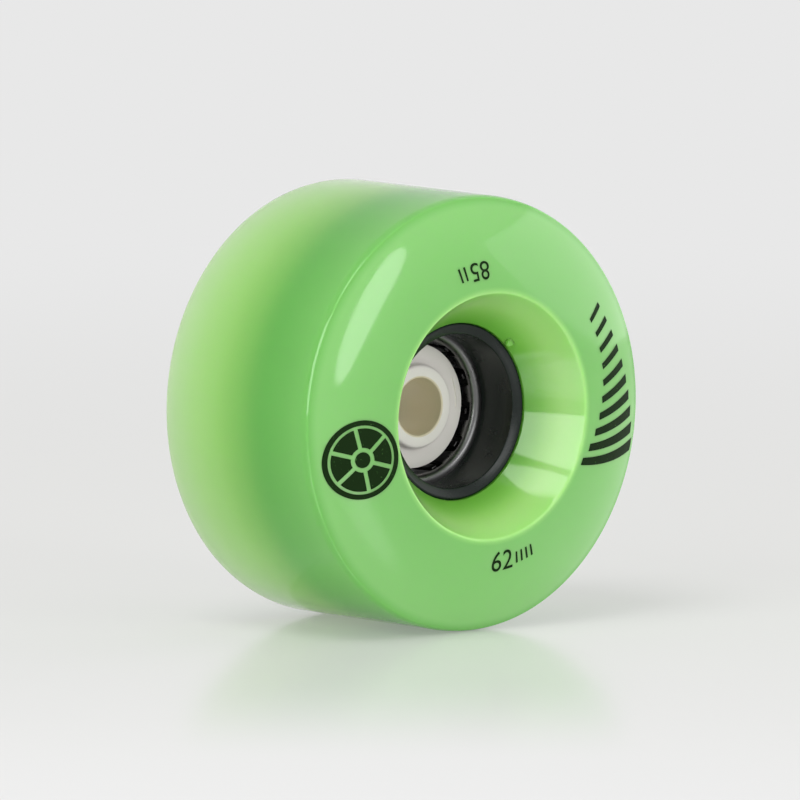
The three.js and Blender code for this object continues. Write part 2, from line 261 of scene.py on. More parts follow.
class Workpiece:
    """A mesh in millimetres that is shaped by bmesh operators and then placed as one piece."""

    def __init__(self) -> None:
        """Starts with nothing."""
        self.bm = bmesh.new()

    @classmethod
    def turned(cls, outline: list[Point], steps: int = ROUND_STEPS, closed: bool = True) -> "Workpiece":
        """Turns an outline about the axle.

        Args:
            outline: The outline's points.
            steps: Number of flats round the axle.
            closed: Whether the last point joins the first one.

        Returns:
            The turned piece, a closed body if the outline is closed.
        """
        piece = cls()
        bm = piece.bm
        points = [bm.verts.new((r, y, 0)) for r, y in outline]
        ends = points[1:] + points[:1] if closed else points[1:]
        lines = [bm.edges.new(pair) for pair in zip(points, ends)]
        bmesh.ops.spin(
            bm, geom=points + lines, cent=(0, 0, 0), axis=(0, 1, 0), dvec=(0, 0, 0),
            angle=math.tau, steps=steps, use_merge=True, use_normal_flip=False, use_duplicate=False,
        )
        piece.mend()
        return piece

    def mend(self) -> None:
        """Merges doubled points and turns the faces outwards."""
        bmesh.ops.remove_doubles(self.bm, verts=self.bm.verts[:], dist=0.0005)
        bmesh.ops.recalc_face_normals(self.bm, faces=self.bm.faces[:])

    def move(self, matrix: Matrix) -> None:
        """Moves, turns or scales the whole mesh."""
        bmesh.ops.transform(self.bm, matrix=matrix, verts=self.bm.verts[:])

    def face_out(self, outwards: bool) -> None:
        """Turns every face round, unless they already look outwards."""
        if not outwards:
            bmesh.ops.reverse_faces(self.bm, faces=self.bm.faces[:])

    def slice(self, at: Vector, normal: Vector, trim: bool = False) -> None:
        """Cuts the mesh along a plane.

        Args:
            at: A point on the plane.
            normal: The plane's normal.
            trim: Whether to take off what lies on the normal's side.
        """
        bmesh.ops.bisect_plane(
            self.bm, geom=self.bm.verts[:] + self.bm.edges[:] + self.bm.faces[:], dist=1e-4,
            plane_co=at, plane_no=normal, clear_outer=trim,
        )

    def draw_out(self, faces: list[bmesh.types.BMFace], along: float, keep: bool = False) -> None:
        """Extrudes faces along the axle.

        Args:
            faces: The faces.
            along: How far, towards +Y.
            keep: Whether the faces also stay where they are.
        """
        grown = bmesh.ops.extrude_face_region(self.bm, geom=faces, use_keep_orig=keep)
        moved = [part for part in grown["geom"] if isinstance(part, bmesh.types.BMVert)]
        bmesh.ops.translate(self.bm, vec=(0, along, 0), verts=moved)

    def add_rod(self, radius: float, length: float, segments: int, place: Matrix) -> None:
        """Adds a round rod.

        Args:
            radius: The rod's radius.
            length: Its length.
            segments: Number of flats round it.
            place: Where its middle and its own Z go.
        """
        bmesh.ops.create_cone(
            self.bm, cap_ends=True, segments=segments, radius1=radius, radius2=radius,
            depth=length, matrix=place,
        )

    def drop_faces(self, faces: list[bmesh.types.BMFace]) -> None:
        """Deletes faces and what only they use."""
        bmesh.ops.delete(self.bm, geom=faces, context="FACES")

    def thicken(self, thickness: float) -> None:
        """Gives an open sheet a wall, on the side that its faces point away from."""
        bmesh.ops.solidify(self.bm, geom=self.bm.faces[:], thickness=thickness)
        bmesh.ops.recalc_face_normals(self.bm, faces=self.bm.faces[:])

    def soften(self, width: float, segments: int = 2, least: float = 50.0) -> None:
        """Bevels the edges that turn by more than so many degrees.

        Args:
            width: Width of the bevel.
            segments: Number of flats across it.
            least: The number of degrees.
        """
        sharp = [edge for edge in self.bm.edges if edge.calc_face_angle(0.0) > math.radians(least)]
        bmesh.ops.bevel(
            self.bm, geom=sharp, offset=width, offset_type="OFFSET", affect="EDGES",
            segments=segments, profile=0.5, material=-1, clamp_overlap=True,
        )

    def to_mesh(self, name: str) -> bpy.types.Mesh:
        """Ends the work on the piece.

        Args:
            name: The mesh's name.

        Returns:
            The mesh, in metres.
        """
        bmesh.ops.scale(self.bm, vec=(MM, MM, MM), verts=self.bm.verts[:])
        mesh = bpy.data.meshes.new(name)
        self.bm.to_mesh(mesh)
        self.bm.free()
        return mesh

    def placed(
        self, name: str, finish: "Finish", body: Body, slot: str = "", *stands_for: str
    ) -> bpy.types.Object:
        """Makes the mesh a piece of the wheel, in metres.

        Args:
            name: The piece's name.
            finish: What it is dressed in.
            body: The body that it moves with.
            slot: Not used. The record's material slot, or nothing where none of them fits.
            *stands_for: The CAD nodes that it replaces.

        Returns:
            The new object.
        """
        for edge in self.bm.edges:
            edge.smooth = edge.calc_face_angle(0.0) < CREASE
        for face in self.bm.faces:
            face.smooth = True
        piece = stand(name, self.to_mesh(name))
        piece.data.materials.append(finish.material())
        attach(piece, body.value)
        if stands_for:
            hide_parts(*stands_for)
        log.info("%s: %d faces on body %s", name, len(piece.data.polygons), body.value)
        return piece


# ---- Shader work ----


class Wire:
    """A shader socket that takes part in Python arithmetic on plain numbers."""

    def __init__(self, tree: bpy.types.NodeTree, socket: bpy.types.NodeSocket) -> None:
        """Holds the socket and the tree that it is in."""
        self.tree = tree
        self.socket = socket

    def _math(self, operation: str, first: "Wire | float", second: "Wire | float" = 0.0) -> "Wire":
        """Adds one Math node.

        Args:
            operation: The node's operation.
            first: Its first value.
            second: Its second value.

        Returns:
            The result.
        """
        node = self.tree.nodes.new("ShaderNodeMath")
        node.operation = operation
        for socket, value in zip(node.inputs, (first, second)):
            if isinstance(value, Wire):
                self.tree.links.new(value.socket, socket)
            else:
                socket.default_value = value
        return Wire(self.tree, node.outputs[0])

    def __add__(self, other: "Wire | float") -> "Wire":
        """Sum."""
        return self._math("ADD", self, other)

    def __radd__(self, other: float) -> "Wire":
        """Sum with a number in front."""
        return self._math("ADD", other, self)

    def __sub__(self, other: "Wire | float") -> "Wire":
        """Difference."""
        return self._math("SUBTRACT", self, other)

    def __rsub__(self, other: float) -> "Wire":
        """Difference from a number in front."""
        return self._math("SUBTRACT", other, self)

    def __mul__(self, other: "Wire | float") -> "Wire":
        """Product."""
        return self._math("MULTIPLY", self, other)

    def __rmul__(self, other: float) -> "Wire":
        """Product with a number in front."""
        return self._math("MULTIPLY", other, self)

    def __truediv__(self, other: "Wire | float") -> "Wire":
        """Quotient."""
        return self._math("DIVIDE", self, other)

    def __rtruediv__(self, other: float) -> "Wire":
        """Quotient of a number in front."""
        return self._math("DIVIDE", other, self)

    def __pow__(self, other: float) -> "Wire":
        """Power."""
        return self._math("POWER", self, other)

    def __abs__(self) -> "Wire":
        """Size without its sign."""
        return self._math("ABSOLUTE", self)

    def sine(self) -> "Wire":
        """Sine of an angle in radians."""
        return self._math("SINE", self)

    def angle_from(self, along: "Wire") -> "Wire":
        """Angle of the point (along, self), in radians."""
        return self._math("ARCTAN2", self, along)

    def greater(self, other: "Wire") -> "Wire":
        """The larger of two."""
        return self._math("MAXIMUM", self, other)


class Shader:
    """The node tree of a material or a world, built in code."""

    def __init__(self, owner: bpy.types.Material | bpy.types.World) -> None:
        """Empties the tree of a material or a world.

        Args:
            owner: The material or the world.
        """
        owner.use_nodes = True
        self.tree = owner.node_tree
        self.tree.nodes.clear()

    def node(self, kind: str, settings: dict | None = None, inputs: dict | None = None) -> bpy.types.Node:
        """Adds any node.

        Args:
            kind: The node's type.
            settings: Its properties, set first; "stops" is a ramp's list of (place, colour).
            inputs: Its sockets by name or number, each a value or a Wire to link.

        Returns:
            The node.
        """
        made = self.tree.nodes.new(kind)
        for key, value in (settings or {}).items():
            if key == "stops":
                self._set_stops(made.color_ramp, value)
            else:
                setattr(made, key, value)
        for key, value in (inputs or {}).items():
            if isinstance(value, Wire):
                self.tree.links.new(value.socket, made.inputs[key])
            else:
                made.inputs[key].default_value = value
        return made

    @staticmethod
    def _set_stops(ramp: bpy.types.ColorRamp, stops: list[tuple[float, Colour]]) -> None:
        """Gives a ramp its stops.

        Args:
            ramp: The ramp.
            stops: Each stop as (place, colour), with places from 0 to 1.
        """
        while len(ramp.elements) < len(stops):
            ramp.elements.new(1.0)
        for element, (place, colour) in zip(ramp.elements, stops):
            element.position = place
            element.color = colour

    def out(self, node: bpy.types.Node, output: str | int = 0) -> Wire:
        """One of a node's outputs as a Wire."""
        return Wire(self.tree, node.outputs[output])

    def place(self) -> Wire:
        """The point's place on the object."""
        return self.out(self.node("ShaderNodeTexCoord"), "Object")

    def axes(self) -> tuple[Wire, Wire, Wire]:
        """The point's x, y and z on the object, in metres."""
        split = self.node("ShaderNodeSeparateXYZ", inputs={"Vector": self.place()})
        return self.out(split, "X"), self.out(split, "Y"), self.out(split, "Z")

    def round_axle(self) -> tuple[Wire, Wire]:
        """The point's distance from the axle and its place along it, in metres."""
        x, y, z = self.axes()
        return (x * x + z * z) ** 0.5, y

    def seen_by(self, *kinds: Seen) -> Wire:
        """Tells kinds of ray from the rest.

        Args:
            *kinds: The kinds of ray.

        Returns:
            1 for these rays and 0 for all others.
        """
        rays = self.node("ShaderNodeLightPath")
        seen = self.out(rays, kinds[0].value)
        for kind in kinds[1:]:
            seen = seen.greater(self.out(rays, kind.value))
        return seen

    def blend(self, share: Wire | float, first: bpy.types.Node, second: bpy.types.Node) -> bpy.types.Node:
        """Mixes two surfaces."""
        return self.node(
            "ShaderNodeMixShader", None, {0: share, 1: self.out(first), 2: self.out(second)})

    def surface(self, node: bpy.types.Node, kind: str = "ShaderNodeOutputMaterial") -> None:
        """Makes a shader node the surface of the material or the world."""
        self.node(kind, None, {"Surface": self.out(node)})

    def ramp(self, value: Wire, low: float, high: float, stops: list[tuple[float, Colour]]) -> Wire:
        """Colours along a value.

        Args:
            value: What the colour follows.
            low: The first value of the ramp.
            high: The last value of the ramp.
            stops: (value, colour) pairs from low to high.

        Returns:
            The colour.
        """
        span = high - low
        places = [((at - low) / span, colour) for at, colour in stops]
        made = self.node(
            "ShaderNodeValToRGB", {"stops": places}, {"Fac": (value - low) / span}
        )
        made.color_ramp.interpolation = "B_SPLINE" if len(stops) > 3 else "LINEAR"
        return self.out(made, "Color")

    def step(self, value: Wire, low: float, high: float) -> Wire:
        """A smooth step from 0 at one value to 1 at another.

        Args:
            value: What the step follows.
            low: The value up to which it is 0.
            high: The value from which it is 1.

        Returns:
            The step.
        """
        made = self.node(
            "ShaderNodeMapRange", {"interpolation_type": "SMOOTHSTEP"},
            {"Value": value, "From Min": low, "From Max": high},
        )
        return self.out(made, "Result")

    def mix(self, factor: Wire | float, first: Wire | Colour, second: Wire | Colour) -> Wire:
        """Mixes two colours."""
        made = self.node("ShaderNodeMix", {"data_type": "RGBA"}, {0: factor, 6: first, 7: second})
        return self.out(made, 2)

    def scaled(self, colour: Wire | Colour, factor: Wire) -> Wire:
        """A colour made lighter or darker by a factor.

        Args:
            colour: The colour.
            factor: The factor.

        Returns:
            The new colour.
        """
        vector = colour if isinstance(colour, Wire) else colour[:3]
        made = self.node(
            "ShaderNodeVectorMath", {"operation": "SCALE"}, {"Vector": vector, "Scale": factor}
        )
        return self.out(made, "Vector")

    def noise(self, scale: float, detail: float = 3.0, where: Wire | None = None) -> Wire:
        """Noise round 0.5.

        Args:
            scale: Number of blotches in a metre.
            detail: Number of finer octaves.
            where: The place that it follows, the point's place on the object if none is given.

        Returns:
            The noise value.
        """
        made = self.node("ShaderNodeTexNoise", None, {
            "Vector": where or self.place(), "Scale": scale, "Detail": detail})
        return self.out(made, "Fac")

    def bump(self, height: Wire, depth: float) -> Wire:
        """A surface normal from a height between 0 and 1.

        Args:
            height: The height.
            depth: The real depth of a full step, in metres.

        Returns:
            The normal.
        """
        made = self.node("ShaderNodeBump", None, {"Height": height, "Distance": depth, "Strength": 1.0})
        return self.out(made, "Normal")


@dataclass(frozen=True)
class Finish:
    """What a piece is dressed in. A kind of finish says how its shader is made."""

    name: str

    def material(self) -> bpy.types.Material:
        """The finish's material, made once.

        Returns:
            The material.
        """
        found = bpy.data.materials.get(self.name)
        if found is not None:
            return found
        made = bpy.data.materials.new(self.name)
        shader = Shader(made)
        shader.surface(shader.node("ShaderNodeBsdfPrincipled", None, self.sockets(shader)))
        return made

    def sockets(self, shader: Shader) -> dict:
        """What goes into the Principled shader's sockets."""
        raise NotImplementedError


@dataclass(frozen=True)
class Urethane(Finish):
    """Milky translucent urethane. Its colour holds painted shade: the black core showing through as a
    dark band round the tread, and darker towards the hub on the faces and in the dishes. The lips hold
    painted light.
    """

    half_tread: float
    ring_face: float
    half_hub: float
    rim_radius: float
    radius: float
    roughness: float = 0.06
    scatter: float = 1.6  # mean distance that light travels inside, in millimetres
    peel_depth: float = 0.004
    clouds: float = 70.0  # blotches in a metre, as in all the finishes
    smears: float = 260.0
    peel: float = 900.0

    def sockets(self, shader: Shader) -> dict:
        """Painted shade and light that follow the depth of urethane over the core, and a faint orange
        peel.

        Args:
            shader: The material's nodes.

        Returns:
            The Principled shader's sockets.
        """
        radius, y = shader.round_axle()
        depth = abs(y)
        colour = shader.mix(
            shader.step(depth, (self.half_tread - 0.2) * MM, (self.half_tread + 0.7) * MM),
            self.tread(shader, y), self.face(shader, radius),
        )
        in_dish = 1 - shader.step(radius, (self.rim_radius - 0.3) * MM, (self.rim_radius + 1.0) * MM)
        colour = shader.mix(in_dish, colour, self.dish(shader, depth))
        return {
            "Base Color": shader.scaled(colour, 0.985 + 0.03 * shader.noise(self.clouds, 2.0)),
            "Roughness": self.roughness + 0.04 * shader.noise(self.smears, 4.0),
            "IOR": 1.5,
            "Subsurface Weight": 1.0,
            "Subsurface Radius": (1.0, 1.0, 1.0),
            "Subsurface Scale": self.scatter * MM,
            "Normal": shader.bump(shader.noise(self.peel, 2.0), self.peel_depth * MM),
        }

    def tread(self, shader: Shader, y: Wire) -> Wire:
        """Painted shade and light: a dark band of painted shade over the core, placed towards the front,
        and lighter towards the lips, most at the back one, as painted light through the thin urethane.

        Args:
            shader: The material's nodes.
            y: Place along the axle, in metres.

        Returns:
            The colour of the tread.
        """
        half = self.half_tread * MM
        # painted shade of the core through the urethane, and painted light at the lips
        return shader.ramp(y, -half, half, [
            (-half, linear(108, 175, 85)),
            (-0.75 * half, linear(96, 165, 73)),
            (-0.5 * half, linear(88, 160, 64)),
            (-0.3 * half, linear(84, 156, 60)),
            (-0.05 * half, linear(108, 168, 72)),
            (0.25 * half, linear(132, 183, 91)),
            (0.6 * half, linear(148, 192, 115)),
            (0.85 * half, linear(159, 193, 136)),
            (half, linear(169, 193, 149)),
        ])

    def face(self, shader: Shader, radius: Wire) -> Wire:
        """Painted shade: a little darker towards the hub, where the core lies under the urethane.

        Args:
            shader: The material's nodes.
            radius: Distance from the axle, in metres.

        Returns:
            The colour of the two faces.
        """
        low, high = self.rim_radius * MM, self.radius * MM
        # painted shade towards the hub
        return shader.ramp(radius, low, high, [
            (low, linear(121, 184, 100)),
            (0.5 * (low + high), linear(126, 188, 105)),
            (high, linear(132, 191, 111)),
        ])

    def dish(self, shader: Shader, depth: Wire) -> Wire:
        """Painted shade: deep green at the core, at the bottom of the dish, and pale at the rim.

        Args:
            shader: The material's nodes.
            depth: Distance from the wheel's middle plane, in metres.

        Returns:
            The colour of the two dishes.
        """
        low, high = self.ring_face * MM, self.half_hub * MM
        # painted shade deep in the dish, by the core
        return shader.ramp(depth, low, high, [
            (low, linear(98, 166, 57)),
            (low + 0.3 * (high - low), linear(136, 196, 90)),
            (low + 0.6 * (high - low), linear(168, 214, 130)),
            (high, linear(154, 208, 120)),
        ])


@dataclass(frozen=True)
class MouldedPlastic(Finish):
    """Injection-moulded plastic with fine turning lines from the mould, a cloudy sheen, and painted shade
    in the bore where a radius for it is given.
    """

    colour: Colour
    roughness: float
    line_pitch: float = 0.35  # millimetres
    line_depth: float = 0.004
    mottle: float = 0.06
    specular: float = 0.5
    bore_shade_radius: float = 0.0  # inside this radius, in the bore, it is painted darker and browner as painted shade, in millimetres
    # the colour of the painted shade in the bore
    tint: Colour = (1.0, 1.0, 1.0, 1.0)
    blotches: float = 300.0
    smears: float = 420.0
    grain: float = 1500.0

    def sockets(self, shader: Shader) -> dict:
        """Rings round the axle in the bump, noise in the colour and the sheen, and painted shade in the
        bore.

        Args:
            shader: The material's nodes.

        Returns:
            The Principled shader's sockets.
        """
        radius, y = shader.round_axle()
        ripple = ((radius + y * 0.5) * (math.tau / (self.line_pitch * MM))).sine() * 0.5 + 0.5
        grain = shader.noise(self.grain)
        tone = (1 - self.mottle / 2) + self.mottle * shader.noise(self.blotches)
        # painted shade: inside the bore the colour turns to the darker tint
        outside_bore_shade = shader.step(radius, self.bore_shade_radius * MM, (self.bore_shade_radius + 0.15) * MM)
        colour = shader.mix(outside_bore_shade, self.tint, self.colour) if self.bore_shade_radius else self.colour
        return {
            "Base Color": shader.scaled(colour, tone),
            "Roughness": self.roughness + 0.12 * (shader.noise(self.smears, 4.0) - 0.5),
            "IOR": 1.5,
            "Specular IOR Level": self.specular,
            "Normal": shader.bump(ripple * 0.5 + grain * 0.5, self.line_depth * MM),
        }


@dataclass(frozen=True)
class SheetSteel(Finish):
    """Pressed steel sheet, drawn smooth along the bend, with faint oil stains."""

    colour: Colour
    roughness: float
    stains: float = 350.0
    scratches: float = 14000.0
    scratch_depth: float = 0.004

    def sockets(self, shader: Shader) -> dict:
        """Fine scratches that run round the axle.

        Args:
            shader: The material's nodes.

        Returns:
            The Principled shader's sockets.
        """
        x, y, z = shader.axes()
        radius = (x * x + z * z) ** 0.5
        round_it = shader.node(
            "ShaderNodeCombineXYZ", None,
            {"X": radius * self.scratches, "Y": y * self.scratches, "Z": z.angle_from(x) * 6.0},
        )
        lines = shader.noise(1.0, where=shader.out(round_it))
        tint = shader.noise(self.stains, 4.0)
        return {
            "Base Color": shader.scaled(self.colour, 0.82 + 0.36 * tint),
            "Metallic": 1.0,
            "Roughness": self.roughness + 0.18 * (tint - 0.5) + 0.08 * (lines - 0.5),
            "Normal": shader.bump(lines, self.scratch_depth * MM),
        }


@dataclass(frozen=True)
class Ink(Finish):
    """Pad-printed ink: thin, satin, and a little worn through where it lies on the gloss."""

    colour: Colour
    worn: Colour
    pinholes: float = 2600.0
    thin_from: float = 0.66  # the noise value where the ink starts to thin out
    thin_to: float = 0.74

    def sockets(self, shader: Shader) -> dict:
        """Small pinholes and a fine tooth.

        Args:
            shader: The material's nodes.

        Returns:
            The Principled shader's sockets.
        """
        speck = shader.noise(self.pinholes, 4.0)
        thin = shader.step(speck, self.thin_from, self.thin_to)
        return {
            "Base Color": shader.mix(0.6 * thin, self.colour, self.worn),
            "Roughness": 0.42 + 0.2 * speck,
            "IOR": 1.5,
            "Specular IOR Level": 0.08,
            "Normal": shader.bump(speck, 0.003 * MM),
        }


@dataclass(frozen=True)
class EnamelledWire(Finish):
    """Copper wire under clear enamel."""

    colour: Colour
    patches: float = 600.0

    def sockets(self, shader: Shader) -> dict:
        """The enamel is thicker here and there.

        Args:
            shader: The material's nodes.

        Returns:
            The Principled shader's sockets.
        """
        patch = shader.noise(self.patches)
        return {
            "Base Color": shader.scaled(self.colour, 0.75 + 0.5 * patch),
            "Metallic": 0.9,
            "Roughness": 0.22 + 0.14 * patch,
            "Coat Weight": 0.6,
            "Coat Roughness": 0.08,
        }


@dataclass(frozen=True)
class SinteredMagnet(Finish):
    """Grey sintered ferrite, matt and grainy."""

    colour: Colour
    grain: float = 2200.0
    pit_depth: float = 0.015

    def sockets(self, shader: Shader) -> dict:
        """Grain and small pits.

        Args:
            shader: The material's nodes.

        Returns:
            The Principled shader's sockets.
        """
        grain = shader.noise(self.grain, 5.0)
        return {
            "Base Color": shader.scaled(self.colour, 0.7 + 0.6 * grain),
            "Metallic": 0.35,
            "Roughness": 0.48 + 0.25 * grain,
            "Normal": shader.bump(grain, self.pit_depth * MM),
        }


@dataclass(frozen=True)
class CircuitBoard(Finish):
    """Solder mask over two ring-shaped copper tracks, on a pale glass-fibre edge."""

    mask: Colour
    track: Colour
    fibre: Colour
    inner: float
    outer: float
    half_thickness: float
    weave: float = 1800.0
    track_height: float = 0.02

    def sockets(self, shader: Shader) -> dict:
        """Tracks at fixed radii on both flat sides.

        Args:
            shader: The material's nodes.

        Returns:
            The Principled shader's sockets.
        """
        radius, y = shader.round_axle()
        share = (radius - self.inner * MM) / ((self.outer - self.inner) * MM)
        band = (share * (2 * math.tau)).sine()
        track = shader.step(band, 0.35, 0.5)
        flat = shader.step(abs(y), (self.half_thickness - 0.05) * MM, (self.half_thickness - 0.01) * MM)
        weave = shader.noise(self.weave, 2.0)
        top = shader.mix(track, self.mask, self.track)
        return {
            "Base Color": shader.mix(flat, shader.scaled(self.fibre, 0.8 + 0.4 * weave), top),
            "Roughness": 0.32 + 0.2 * weave,
            "Normal": shader.bump(track * 0.8 + weave * 0.2, self.track_height * MM),
        }


@dataclass(frozen=True)
class LightLens(Finish):
    """Clear epoxy of a small light, slightly clouded."""

    colour: Colour
    flow_lines: float = 900.0
    flow_depth: float = 0.006

    def sockets(self, shader: Shader) -> dict:
        """Flow lines in the epoxy.

        Args:
            shader: The material's nodes.

        Returns:
            The Principled shader's sockets.
        """
        flow = shader.noise(self.flow_lines)
        return {
            "Base Color": shader.scaled(self.colour, 0.92 + 0.12 * flow),
            "Roughness": 0.06 + 0.08 * flow,
            "IOR": 1.54,
            "Transmission Weight": 0.7,
            "Normal": shader.bump(flow, self.flow_depth * MM),
        }


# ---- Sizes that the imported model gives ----


@dataclass(frozen=True)
class CadSizes:
    """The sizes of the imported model's pieces that the finer ones are built to, in millimetres."""

    wheel_radius: float
    half_hub: float
    ring_face: float
    drum_outer: float
    drum_end: float
    shoulder: float
    yoke_outer: float
    claw_tip: float
    flange_radius: float
    spacer_front: float
    spacer_back: float
    flange_face: float
    magnet_radius: float
    magnet_half: float
    bobbin_outer: float
    stack_half: float
    winding_outer: float
    winding_half: float
    board_outer: float
    board_half: float

    @classmethod
    def read(cls) -> "CadSizes":
        """Measures the CAD nodes at rest.

        Returns:
            The sizes.
        """

        def low(node: str) -> Vector:
            """Lowest corner of a node, in millimetres."""
            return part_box(node)[0] / MM

        def high(node: str) -> Vector:
            """Highest corner of a node, in millimetres."""
            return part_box(node)[1] / MM

        return cls(
            wheel_radius=high("tyre").z,
            half_hub=high("tyre").y,
            ring_face=high("core_back_shell").y,
            drum_outer=high("core_back_shell").z,
            drum_end=low("core_back_shell").y,
            shoulder=high("claw_plate_back").y,
            yoke_outer=high("claw_plate_back").z,
            claw_tip=high("claw_plate_front").y,
            flange_radius=high("spacer_sleeve").z,
            spacer_front=low("spacer_sleeve").y,
            spacer_back=high("spacer_sleeve").y,
            flange_face=high("spacer_back_flange").y,
            magnet_radius=high("magnet_ring").z,
            magnet_half=high("magnet_ring").y,
            bobbin_outer=high("coil_bobbin").z,
            stack_half=high("coil_bobbin").y,
            winding_outer=high("coil_winding").z,
            winding_half=high("coil_winding").y,
            board_outer=high("led_board").z,
            board_half=high("led_board").y,
        )


# ---- The wheel's sub-assemblies ----


@dataclass
class Core:
    """The two black shells that the urethane is cast on, with the bearing seats in them."""

    cad: CadSizes
    seat_radius: float = 11.0
    ring_wall: float = 1.6
    ring_bevel: float = 0.7
    ring_land: float = 0.8
    neck_undercut: float = 0.5
    flange_slope: float = 1.6
    flange_rise: float = 2.05
    drum_wall: float = 2.4
    mouth_round: float = 0.22
    ring_round: float = 0.35

    @property
    def ring_radius(self) -> float:
        """Outer radius of the ring that shows at the bottom of the dish."""
        return self.seat_radius + self.ring_wall

    def grip(self, clearance: float = 0.0) -> list[Corner]:
        """The outer surface of one half, from the ring's face to the middle.

        Args:
            clearance: How far the surface is moved off the core.

        Returns:
            The corners.
        """
        cad = self.cad
        ring, neck = self.ring_radius + clearance, self.ring_radius - self.neck_undercut + clearance
        land_end = cad.ring_face - self.ring_land
        flange_edge = cad.shoulder + self.flange_rise + clearance
        return [
            (ring, cad.ring_face, 0.0 if clearance else self.ring_round),
            (ring, land_end, 0.1),
            (neck, land_end - self.neck_undercut, 0.1),
            (neck, flange_edge + self.flange_slope, 0.4),
            (cad.drum_outer + clearance, flange_edge, 0.3),
            (cad.drum_outer + clearance, cad.drum_end, 0.0),
        ]

    def shell(self, side: Side) -> Workpiece:
        """One shell: its grip outside, and the bearing seat and the drum inside.

        Args:
            side: The side of the wheel that it is on.

        Returns:
            The shell.
        """
        cad = self.cad
        drum, web = cad.drum_outer - self.drum_wall, cad.shoulder + SEAM
        inner = [
            (drum, cad.drum_end, 0.1),
            (drum, web, 0.1),
            (self.seat_radius, web, 0.0),
            (self.seat_radius, cad.ring_face - self.ring_bevel, self.mouth_round),
        ]
        return Workpiece.turned(on_side(rounded([*self.grip(), *inner]), side))

    def build(self, finish: Finish) -> None:
        """Makes both shells.

        Args:
            finish: The black plastic.
        """
        for side in Side:
            name = f"core_{side.word}"
            self.shell(side).placed(name, finish, Body.WHEEL, "core_plastic", f"{name}_shell")


